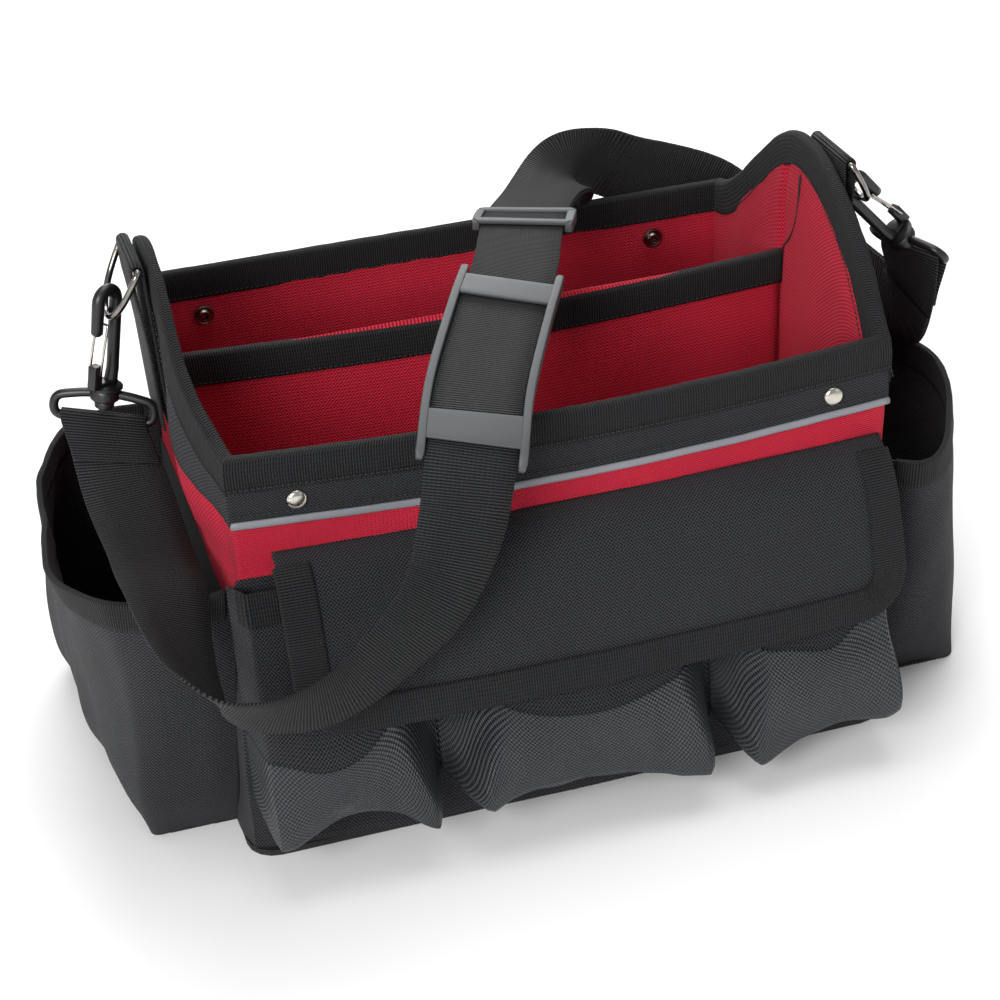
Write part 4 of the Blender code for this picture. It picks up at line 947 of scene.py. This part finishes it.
def resample(points, step):
    points = np.array([tuple(p) for p in points])
    reach = runs(points)
    marks = np.linspace(0, reach[-1], max(int(reach[-1] / step), 2))
    return np.array([pointAlong(m, reach, points) for m in marks]), marks, reach


# A smooth curve through points, with so many steps between two of them
def smoothLine(points, steps):
    line, last = [], len(points) - 1
    for at in range(last):
        before, left = points[max(at - 1, 0)], points[at]
        right, after = points[at + 1], points[min(at + 2, last)]
        for i in range(steps):
            t = i / steps
            bent = 2 * left + (right - before) * t + (2 * before - 5 * left + 4 * right - after) * t ** 2
            line.append((bent + (3 * left - before - 3 * right + after) * t ** 3) / 2)
    return line + [points[-1]]


webbingTooth, webbingStep = 0.0002, 0.00085
seamPath = smoothLine([Vector(tubPoint("right", shareAcross(y, z), z, seamInset)) for y, z in seamRoute], 6)
sweep("liningSeam", seamPath, 0.0007, "thread", around=8)

for side, data in sides.items():
    sign = -1 if side == "left" else 1
    top, bottom = tabTop(side)
    up = (top - bottom).normalized()
    out = Vector((sign, 0, 0))
    out = (out - up * out.dot(up)).normalized()
    line = [bottom - out * foldRadius * 0.9]
    line += [bottom.lerp(top, t) - out * foldRadius for t in (0.2, 0.5, 0.8)]
    for i in range(17):
        angle = math.pi * i / 16
        line.append(top + foldRadius * (up * math.sin(angle) - out * math.cos(angle)))
    line += [bottom.lerp(top, t) + out * lerp(0.3, 1.0, smoothStep(0.55, 0.9, t)) * foldRadius
             for t in (0.85, 0.7, 0.5, 0.25, 0.0)]
    smooth = resample(line, 0.0009)[0]
    tab, length, _ = webbingPiece(side + "TabWebbing", smooth, [(0, 1, 0)] * len(smooth), (side + "_tab",))

    swing = math.radians(data["ringSwing"])
    down = Vector((sign * math.sin(swing), 0, -math.cos(swing)))
    half = hardware["webWidth"] / 2 + hardware["gap"] + hardware["ringWire"] / 2
    path = []
    for i in range(49):
        angle = math.pi * i / 48
        path.append(top + Vector((0, half * math.cos(angle), 0))
                    + down * hardware["ringDrop"] * math.sin(angle) ** 0.8)
    path += [path[-1].lerp(path[0], t) for t in (0.1, 0.3, 0.5, 0.7, 0.9)]
    sweep(side + "DRing", path, hardware["ringWire"] / 2, "ringSteel", nodes=(side + "_ring",), closed=True)

    # Hook: a spine bent over to a nose, on a flange and pin, with a bent wire gate
    hookFrame = frameFrom(data["origin"], data["shank"], data["hookTurn"])
    radius, offset = hardware["eyeWidth"] / 2, hardware["spineOffset"]
    centreX, centreZ = offset - radius, hardware["hookHeight"] - hardware["hookWire"] / 2 - radius
    path, radii = [], []
    # height and radius at the spine's foot
    for z, r in ((0.0015, 0.0044), (0.006, 0.0040), (0.012, 0.0038)):
        path.append((lerp(offset * 0.7, offset, min(z / 0.012, 1)), 0, z))
        radii.append(r)
    for t in np.linspace(0.1, 1, 9):
        path.append((offset, 0, lerp(0.012, centreZ, t)))
        radii.append(lerp(0.0037, 0.0038, t))
    for i in range(1, 16):
        angle = math.pi * i / 16
        path.append((centreX + radius * math.cos(angle), 0, centreZ + radius * math.sin(angle)))
        radii.append(0.0038)
    for t in np.linspace(0, 1, 7):
        path.append((centreX - radius, 0, centreZ - hardware["noseLength"] * t))
        radii.append(lerp(0.0038, 0.0036, t))
    path.append((centreX - radius, 0, centreZ - hardware["noseLength"] - 0.0014))
    radii.append(0.0022)
    hook, gate = side + "_hook", side + "_gate"
    sweep(side + "HookSpine", [hookFrame @ Vector(p) for p in path], radii, "hookPlastic", hook,
          nodes=(hook,), around=20)
    hingeX = offset - hardware["eyeWidth"]
    heel = [((hingeX, 0, 0.0088), (0.0066, hardware["heelWidth"], 0.0153)),
            ((offset / 2 - 0.002, 0, 0.0030), (0.014, 0.0062, 0.0030))]
    blockPiece(side + "HookHeel", hookFrame, heel, "hookPlastic", hook, 0.0009)
    headTop = -hardware["bossHeight"] - hardware["headGap"]
    turnedPiece(side + "HookFlange", hookFrame, (
        (0.0, headTop - 0.0050), (0.0048, headTop - 0.0050), (0.0058, headTop - 0.0042),
        (0.0062, headTop - 0.0006), (0.0058, headTop), (0.0040, headTop), (0.0040, 0.0), (0.0098, 0.0),
        (0.0105, 0.0006), (0.0105, 0.0016), (0.0098, 0.0022), (0.0052, 0.0026), (0.0, 0.0027)),
        "hookPlastic", hook)
    halfGate = hardware["heelWidth"] / 2 + hardware["gateBar"] + hardware["gap"]
    reach = hardware["hookWire"] / 2 + hardware["gap"] + hardware["gateBar"]
    rise = hardware["gateTop"] - hardware["hinge"]
    gateFrame = hookFrame @ Matrix.Translation((hingeX, 0, hardware["hinge"]))
    wire = roundedPath([(0, halfGate, 0), (reach * 0.35, halfGate, rise * 0.45), (reach, halfGate, rise),
                        (reach, -halfGate, rise), (reach * 0.35, -halfGate, rise * 0.45), (0, -halfGate, 0)],
                       0.0016)
    sweep(side + "GateWire", [gateFrame @ p for p in wire], hardware["gateBar"], "nickel", gate,
          nodes=(gate,), around=12)

    # Loop that the strap passes, with the boss that the pin turns in
    loopFrame = frameFrom(data["origin"], data["shank"], data["loopTurn"])
    data["loopFrame"] = loopFrame
    half, shoulder = hardware["loopHalf"], loopTop - 0.0040
    corners = [(half, 0, shoulder), (0.010, 0, loopTop), (-0.010, 0, loopTop), (-half, 0, shoulder),
               (-half, 0, loopFoot), (half, 0, loopFoot)]
    path = roundedPath(corners, 0.0085, 8, closed=True)
    sweep(side + "StrapLoop", [loopFrame @ p for p in path], hardware["loopBar"], "hookPlastic",
          nodes=(side + "_loop",), closed=True)
    turnedPiece(side + "LoopBoss", loopFrame, (
        (0.0043, -0.0075), (0.0080, -0.0075), (0.0089, -0.0066), (0.0092, -0.0012), (0.0086, -0.0003),
        (0.0043, -0.0003), (0.0043, -0.0075)), "hookPlastic")

# Shoulder strap: its middle line as shares of half the tub's length, half its depth and the wall's height,
# then the direction of its width in degrees, turned from +X towards +Y and dipped below the level
print("strap")
strapRoute = (
    (-1.236, -0.290, 0.805, -16, 4), (-1.222, -0.510, 0.748, -4, 7), (-1.215, -0.740, 0.729, 11, 11),
    (-1.215, -1.000, 0.725, 24, 14), (-1.215, -1.290, 0.676, 32, 30), (-1.198, -1.470, 0.640, 52, 34),
    (-1.165, -1.590, 0.615, 74, 40), (-1.095, -1.640, 0.586, 81, 49), (-1.000, -1.650, 0.566, 76, 55),
    (-0.890, -1.645, 0.566, 58, 58), (-0.780, -1.625, 0.590, 40, 52), (-0.675, -1.610, 0.642, 25, 42),
    (-0.565, -1.590, 0.710, 16, 35), (-0.480, -1.550, 0.790, 8, 27), (-0.415, -1.500, 0.905, -4, 15),
    (-0.360, -1.390, 1.024, -12, 6), (-0.270, -1.090, 1.095, -14, 4), (-0.115, -0.640, 1.148, -10, 4),
    (0.005, -0.290, 1.170, -4, 4), (0.125, 0.150, 1.172, 0, 2), (0.285, 0.590, 1.140, 18, 5),
    (0.455, 0.965, 1.108, 46, 24), (0.620, 1.215, 1.062, 62, 58), (0.800, 1.285, 0.990, 30, 80),
    (1.000, 1.300, 0.925, 0, 86), (1.130, 1.210, 0.872, -35, 84), (1.240, 0.960, 0.845, -62, 76),
    (1.325, 0.610, 0.825, -70, 74), (1.375, 0.300, 0.800, -74, 70), (1.400, 0.050, 0.790, -76, 52))


def widthVector(turn, dip):
    turn, dip = math.radians(turn), math.radians(dip)
    return Vector((math.cos(dip) * math.cos(turn), math.cos(dip) * math.sin(turn), -math.sin(dip)))


def squareTo(vector, axis):
    return (vector - axis * vector.dot(axis)).normalized()


# The stitched end of the strap: beside the strap up to the bar, then over the bar to meet the line
def strapFold(bar, across, line, widths, front):
    radius = hardware["loopBar"] + hardware["loopGap"] + hardware["webThick"] / 2
    leave = squareTo(line[4] - bar, across)
    front = squareTo(squareTo(front, across), leave)
    tail, tailWidths = [], []
    reach = runs(np.array([tuple(p) for p in line]))
    for i in range(len(line) - 1):
        if 0.004 < reach[i] < 0.031:
            ahead = (line[i + 1] - line[i]).normalized()
            over = squareTo(squareTo(front, widths[i]), ahead)
            lift = lerp(2 * radius, layerLift, smoothStep(0.0, 0.022, reach[i]))
            tail.append(line[i] + over * lift)
            tailWidths.append(widths[i])
    arc = []
    for i in range(13):
        angle = math.pi * i / 12
        arc.append(bar + radius * (front * math.cos(angle) - leave * math.sin(angle)))
    return tail[::-1] + arc, tailWidths[::-1] + [across] * len(arc)


layerLift = 0.0019
routeUnits = (tub["length"] / 2, tub["depth"] / 2, tub["wall"])
routePoints = [Vector((a * routeUnits[0], b * routeUnits[1], c * routeUnits[2]))
               for a, b, c, _, _ in strapRoute]
routeWidths = [widthVector(turn, dip) for _, _, _, turn, dip in strapRoute]
fronts = {"left": Vector((0, -1, 0)), "right": Vector((1, -0.4, 0.4))}
bars, ends = {}, {}
for side, towards in (("left", routePoints[0]), ("right", routePoints[-1])):
    loopFrame = sides[side]["loopFrame"]
    bar, across = loopFrame @ Vector((0, 0, loopFoot)), loopFrame.to_3x3() @ Vector((1, 0, 0))
    bars[side] = (bar, across)
    leave = squareTo(towards - bar, across)
    stand = hardware["loopBar"] + hardware["loopGap"] + hardware["webThick"] / 2
    ends[side] = bar - squareTo(squareTo(fronts[side], across), leave) * stand
middleLine = smoothLine([ends["left"]] + routePoints + [ends["right"]], 14)
middleWidths = smoothLine([bars["left"][1]] + routeWidths + [bars["right"][1]], 14)
first, firstWidths = strapFold(*bars["left"], middleLine, middleWidths, fronts["left"])
final, finalWidths = strapFold(*bars["right"], middleLine[::-1], middleWidths[::-1], fronts["right"])
line = first[:-1] + middleLine + final[::-1][1:]
widths = np.array([tuple(w) for w in firstWidths[:-1] + middleWidths + finalWidths[::-1][1:]])
strapLine, marks, reach = resample(line, webbingStep)
strapWidths = np.array([pointAlong(m, reach, widths) for m in marks])
fromEnd = np.minimum(marks, marks[-1] - marks)[:, None]
strap, strapLength, strapNormals = webbingPiece("strapWebbing", strapLine, strapWidths, ("shoulder_strap",),
                                                1 - smoothStep(0.050, 0.110, fromEnd))
strapReach = runs(strapLine)
strapForward = unit(np.gradient(strapLine, axis=0))
strapAcross = unit(strapWidths)
strapAcross = unit(strapAcross - strapForward * np.sum(strapAcross * strapForward, axis=1, keepdims=True))


# A place beside the strap: across its width and up from its middle
def strapPlace(distance, across, up):
    point, side, normal = (pointAlong(distance, strapReach, table)
                           for table in (strapLine, strapAcross, strapNormals))
    return point + side * across + normal * up


# Adds a moulded bar that follows the strap from low to high
def strapBar(bm, low, high, outline, taper=0.0):
    rings = []
    marks = np.linspace(low, high, max(int((high - low) / 0.004), 2) + 1)
    centreA, centreB = np.mean(outline, axis=0)
    for i, distance in enumerate(marks):
        shrink = 1.0 - (taper if i in (0, len(marks) - 1) else 0.0)
        rings.append([bm.verts.new(strapPlace(distance, centreA + (a - centreA) * shrink,
                                              centreB + (b - centreB) * shrink)) for a, b in outline])
    for one, two in zip(rings, rings[1:]):
        for k in range(len(outline)):
            m = (k + 1) % len(outline)
            bm.faces.new((one[k], one[m], two[m], two[k]))
    bm.faces.new(rings[0][::-1])
    bm.faces.new(rings[-1])


# A rectangle across the strap, as points (across, up)
def flatOutline(low, high, bottom, top):
    return ((low, bottom), (high, bottom), (high, top), (low, top))


def strapFitting(name, bars, nodes):
    bm = bmesh.new()
    for low, high, outline, taper in bars:
        strapBar(bm, low, high, outline, taper)
    bmesh.ops.recalc_face_normals(bm, faces=bm.faces)
    return roundedPiece(name, bm, 0.0007, "padPlastic", nodes=nodes, angle=35)


# How far along the strap a row of its route lies
def distanceOf(row):
    target = np.array(routePoints[row])
    return strapReach[int(np.argmin(np.linalg.norm(strapLine - target, axis=1)))]


# The pad's frame is two rails, a plate under the strap and a bridge over it near each end
padLook = {"row": 16, "past": 0.028, "length": 0.166, "rail": (-0.0044, 0.0042), "plate": (-0.0044, -0.0020),
           "bridge": (0.0016, 0.0038), "bridgeStart": 0.012, "bridgeLength": 0.020}
sliderLook = {"row": 19, "past": 0.003, "length": 0.026, "rail": (-0.0036, 0.0040),
              "bridge": (0.0014, 0.0044), "bridgeLength": 0.0055}
inner, outer = hardware["webWidth"] / 2 + 0.0006, hardware["webWidth"] / 2 + 0.0055


def fittingSpan(look):
    middle = distanceOf(look["row"]) + look["past"]
    return middle - look["length"] / 2, middle + look["length"] / 2


low, high = fittingSpan(padLook)
padBars = [(low + 0.004, high - 0.004, flatOutline(-outer + 0.001, outer - 0.001, *padLook["plate"]), 0.1)]
bridge = flatOutline(-outer + 0.0008, outer - 0.0008, *padLook["bridge"])
for sign in (-1, 1):
    padBars.append((low, high, flatOutline(*sorted((sign * inner, sign * outer)), *padLook["rail"]), 0.3))
for start in (low + padLook["bridgeStart"], high - padLook["bridgeStart"] - padLook["bridgeLength"]):
    padBars.append((start, start + padLook["bridgeLength"], bridge, 0.0))
strapFitting("shoulderPad", padBars, ("shoulder_pad",))

low, high = fittingSpan(sliderLook)
sliderBars = []
for sign in (-1, 1):
    rail = flatOutline(*sorted((sign * inner, sign * (outer + 0.0005))), *sliderLook["rail"])
    sliderBars.append((low, high, rail, 0.2))
for start in (low, high - sliderLook["bridgeLength"]):
    bridge = flatOutline(-outer, outer, *sliderLook["bridge"])
    sliderBars.append((start, start + sliderLook["bridgeLength"], bridge, 0.1))
strapFitting("lengthSlider", sliderBars, ("slider",))

# The strap lies double from the slider to the right hook
start, end = distanceOf(sliderLook["row"]) - 0.006, strapReach[-1] - 0.075
picks = [i for i, r in enumerate(strapReach) if start < r < end]
upperLine = [strapLine[i] + strapNormals[i] * layerLift for i in picks]
upperStrap, upperLength, _ = webbingPiece("strapSecondLayer", upperLine, strapWidths[picks])

# Studs on the front band, and snap sockets on the inside of the back
print("studs and stitches")
studZ = tub["wall"] - 0.029
studProfile = (
    # radius, height
    (0.0, 0.0), (0.0050, 0.0), (0.0058, 0.0003), (0.0060, 0.0008), (0.0056, 0.0015), (0.0046, 0.0021),
    (0.0032, 0.0025), (0.0016, 0.0027), (0.0, 0.0027))
snapProfile = (
    (0.0, 0.0), (0.0064, 0.0), (0.0068, 0.0006), (0.0066, 0.0013), (0.0058, 0.0016), (0.0050, 0.0012),
    (0.0045, 0.0012), (0.0040, 0.0028), (0.0034, 0.0035), (0.0026, 0.0035), (0.0022, 0.0028),
    (0.0019, 0.0010), (0.0, 0.0008))
for wall, piece, node, inset, profile, finish, places in (
        ("front", "frontStud_", "front_stud_", -band["out"], studProfile, "nickel", (-0.161, 0.163)),
        ("back", "backSnap_", "back_snap_", 0.0096, snapProfile, "gunmetal", (-0.173, 0.154))):
    for label, x in zip(("left", "right"), places):
        spot = Matrix.Translation(tubPoint(wall, shareAlong(x, studZ), studZ, inset))
        turnedPiece(piece + label, spot @ Matrix.Rotation(math.radians(90), 4, "X"), profile, finish,
                    nodes=(node + label,))

# Stitches: geometry nodes place short threads along the rim's tape, the front band, the divider's tape and
# the flap's hem
stitchLook = {"spacing": 0.0034, "length": 0.0023, "radius": 0.00032, "drop": 0.0165, "bandDrop": 0.0335}


def stitchTree(material):
    tree = bpy.data.node_groups.new("stitch run", "GeometryNodeTree")
    tree.interface.new_socket("Seams", in_out="INPUT", socket_type="NodeSocketGeometry")
    sockets = {}
    for key in ("spacing", "length", "radius"):
        label = key.capitalize()
        made = tree.interface.new_socket(label, in_out="INPUT", socket_type="NodeSocketFloat")
        made.default_value = stitchLook[key]
        sockets[label] = made.identifier
    tree.interface.new_socket("Stitches", in_out="OUTPUT", socket_type="NodeSocketGeometry")
    given = addNode(tree, "NodeGroupInput")
    spaced = addNode(tree, "GeometryNodeResampleCurve", {"mode": "LENGTH"}, Curve=given.outputs["Seams"],
                     Length=given.outputs["Spacing"])
    thread = addNode(tree, "GeometryNodeMeshCylinder", Vertices=6, Radius=given.outputs["Radius"],
                     Depth=given.outputs["Length"])
    tangent = addNode(tree, "GeometryNodeInputTangent")
    turned = addNode(tree, "FunctionNodeAlignRotationToVector", {"axis": "Z"}, Vector=tangent.outputs[0])
    laid = addNode(tree, "GeometryNodeInstanceOnPoints", Points=spaced.outputs[0],
                   Instance=thread.outputs[0], Rotation=turned.outputs[0])
    real = addNode(tree, "GeometryNodeRealizeInstances", Geometry=laid.outputs[0])
    coated = addNode(tree, "GeometryNodeSetMaterial", Geometry=real.outputs[0], Material=material)
    result = addNode(tree, "NodeGroupOutput")
    tree.links.new(coated.outputs[0], result.inputs[0])
    return tree, sockets


drop, seams = stitchLook["drop"], []
for out in (0.0036, -0.0068):
    seams.append([rimPoint(station, drop, out) for station in ringStations + ringStations[:1]])
seams.append([rimPoint(("front", s), stitchLook["bandDrop"], 0.0031) for s in np.linspace(0.01, 0.99, 80)])
for out in (0.0059, -0.0059):
    seams.append([dividerPoint(s, drop, out) for s in np.linspace(0.02, 0.98, 80)])
seams.append([hemPoint(i, drop, 0.0016) for i in range(len(hemLine))])
curve = bpy.data.curves.new("stitchSeams", "CURVE")
curve.dimensions = "3D"
for seam in seams:
    spline = curve.splines.new("POLY")
    spline.points.add(len(seam) - 1)
    for slot, point in zip(spline.points, seam):
        slot.co = (*point, 1.0)
guide = addObject("stitchSeams", curve)
tree, sockets = stitchTree(finishes["thread"])
run = guide.modifiers.new("stitches", "NODES")
run.node_group = tree
for key in ("spacing", "length", "radius"):
    run[sockets[key.capitalize()]] = stitchLook[key]
mesh = bpy.data.meshes.new_from_object(guide.evaluated_get(bpy.context.evaluated_depsgraph_get()))
bpy.data.objects.remove(guide, do_unlink=True)
place(addObject("stitches", mesh), "thread")

# The base keeps its shape
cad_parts["base"].data.materials.clear()
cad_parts["base"].data.materials.append(finishes["baseCloth"])

# Floor, light and camera
print("studio")
floorMaterial, _, floorShader = newFinish("matt white paper", 0.9)
floorShader.inputs["Base Color"].default_value = toLinear("#f4f4f4")
bpy.ops.mesh.primitive_plane_add(size=12, location=(0, 0, -0.0006))
floorPlane = bpy.context.object
floorPlane.name = "paperFloor"
floorPlane.data.materials.append(floorMaterial)

world = bpy.data.worlds.new("studio") if bpy.context.scene.world is None else bpy.context.scene.world
bpy.context.scene.world = world
world.use_nodes = True
world.node_tree.nodes["Background"].inputs["Color"].default_value = (1.0, 1.0, 1.0, 1.0)
world.node_tree.nodes["Background"].inputs["Strength"].default_value = 0.42
bpy.context.scene.view_settings.view_transform = "Standard"
lamps = (
    # name, place, size, watts, aim
    ("key", (-1.5, -2.0, 1.35), 1.2, 62, (0, 0, 0.15)), ("side", (-2.2, -0.5, 0.5), 1.4, 5, (0, 0, 0.15)),
    ("top", (0.1, 0.2, 2.2), 1.6, 24, (0, 0, 0.15)), ("fill", (1.6, -1.4, 1.0), 1.2, 3, (0, 0, 0.15)),
    ("backdrop", (0.9, 3.4, 2.2), 2.6, 150, (0.9, 3.4, 0)))
for name, spot, size, power, aim in lamps:
    lamp = bpy.data.lights.new(name, "AREA")
    lamp.size = size
    lamp.energy = power
    holder = addObject(name, lamp)
    holder.location = spot
    holder.rotation_euler = (Vector(aim) - Vector(spot)).to_track_quat("-Z", "Y").to_euler()

# the camera's lens, place and axes, as fitted to the photograph
cameraLook = {"lens": 86.31, "sensor": 36.0, "place": (-0.36881, -1.29644, 0.89896),
              "right": (0.95413, -0.29560, -0.04757), "up": (0.18702, 0.46435, 0.86568)}
cameraData = bpy.data.cameras.new("camera")
cameraData.lens = cameraLook["lens"]
cameraData.sensor_width = cameraLook["sensor"]
camera = addObject("camera", cameraData)
right, up = Vector(cameraLook["right"]), Vector(cameraLook["up"])
turn = Matrix((right, up, right.cross(up))).transposed().to_4x4()
turn.translation = Vector(cameraLook["place"])
camera.matrix_world = turn
bpy.context.scene.camera = camera

print("done")
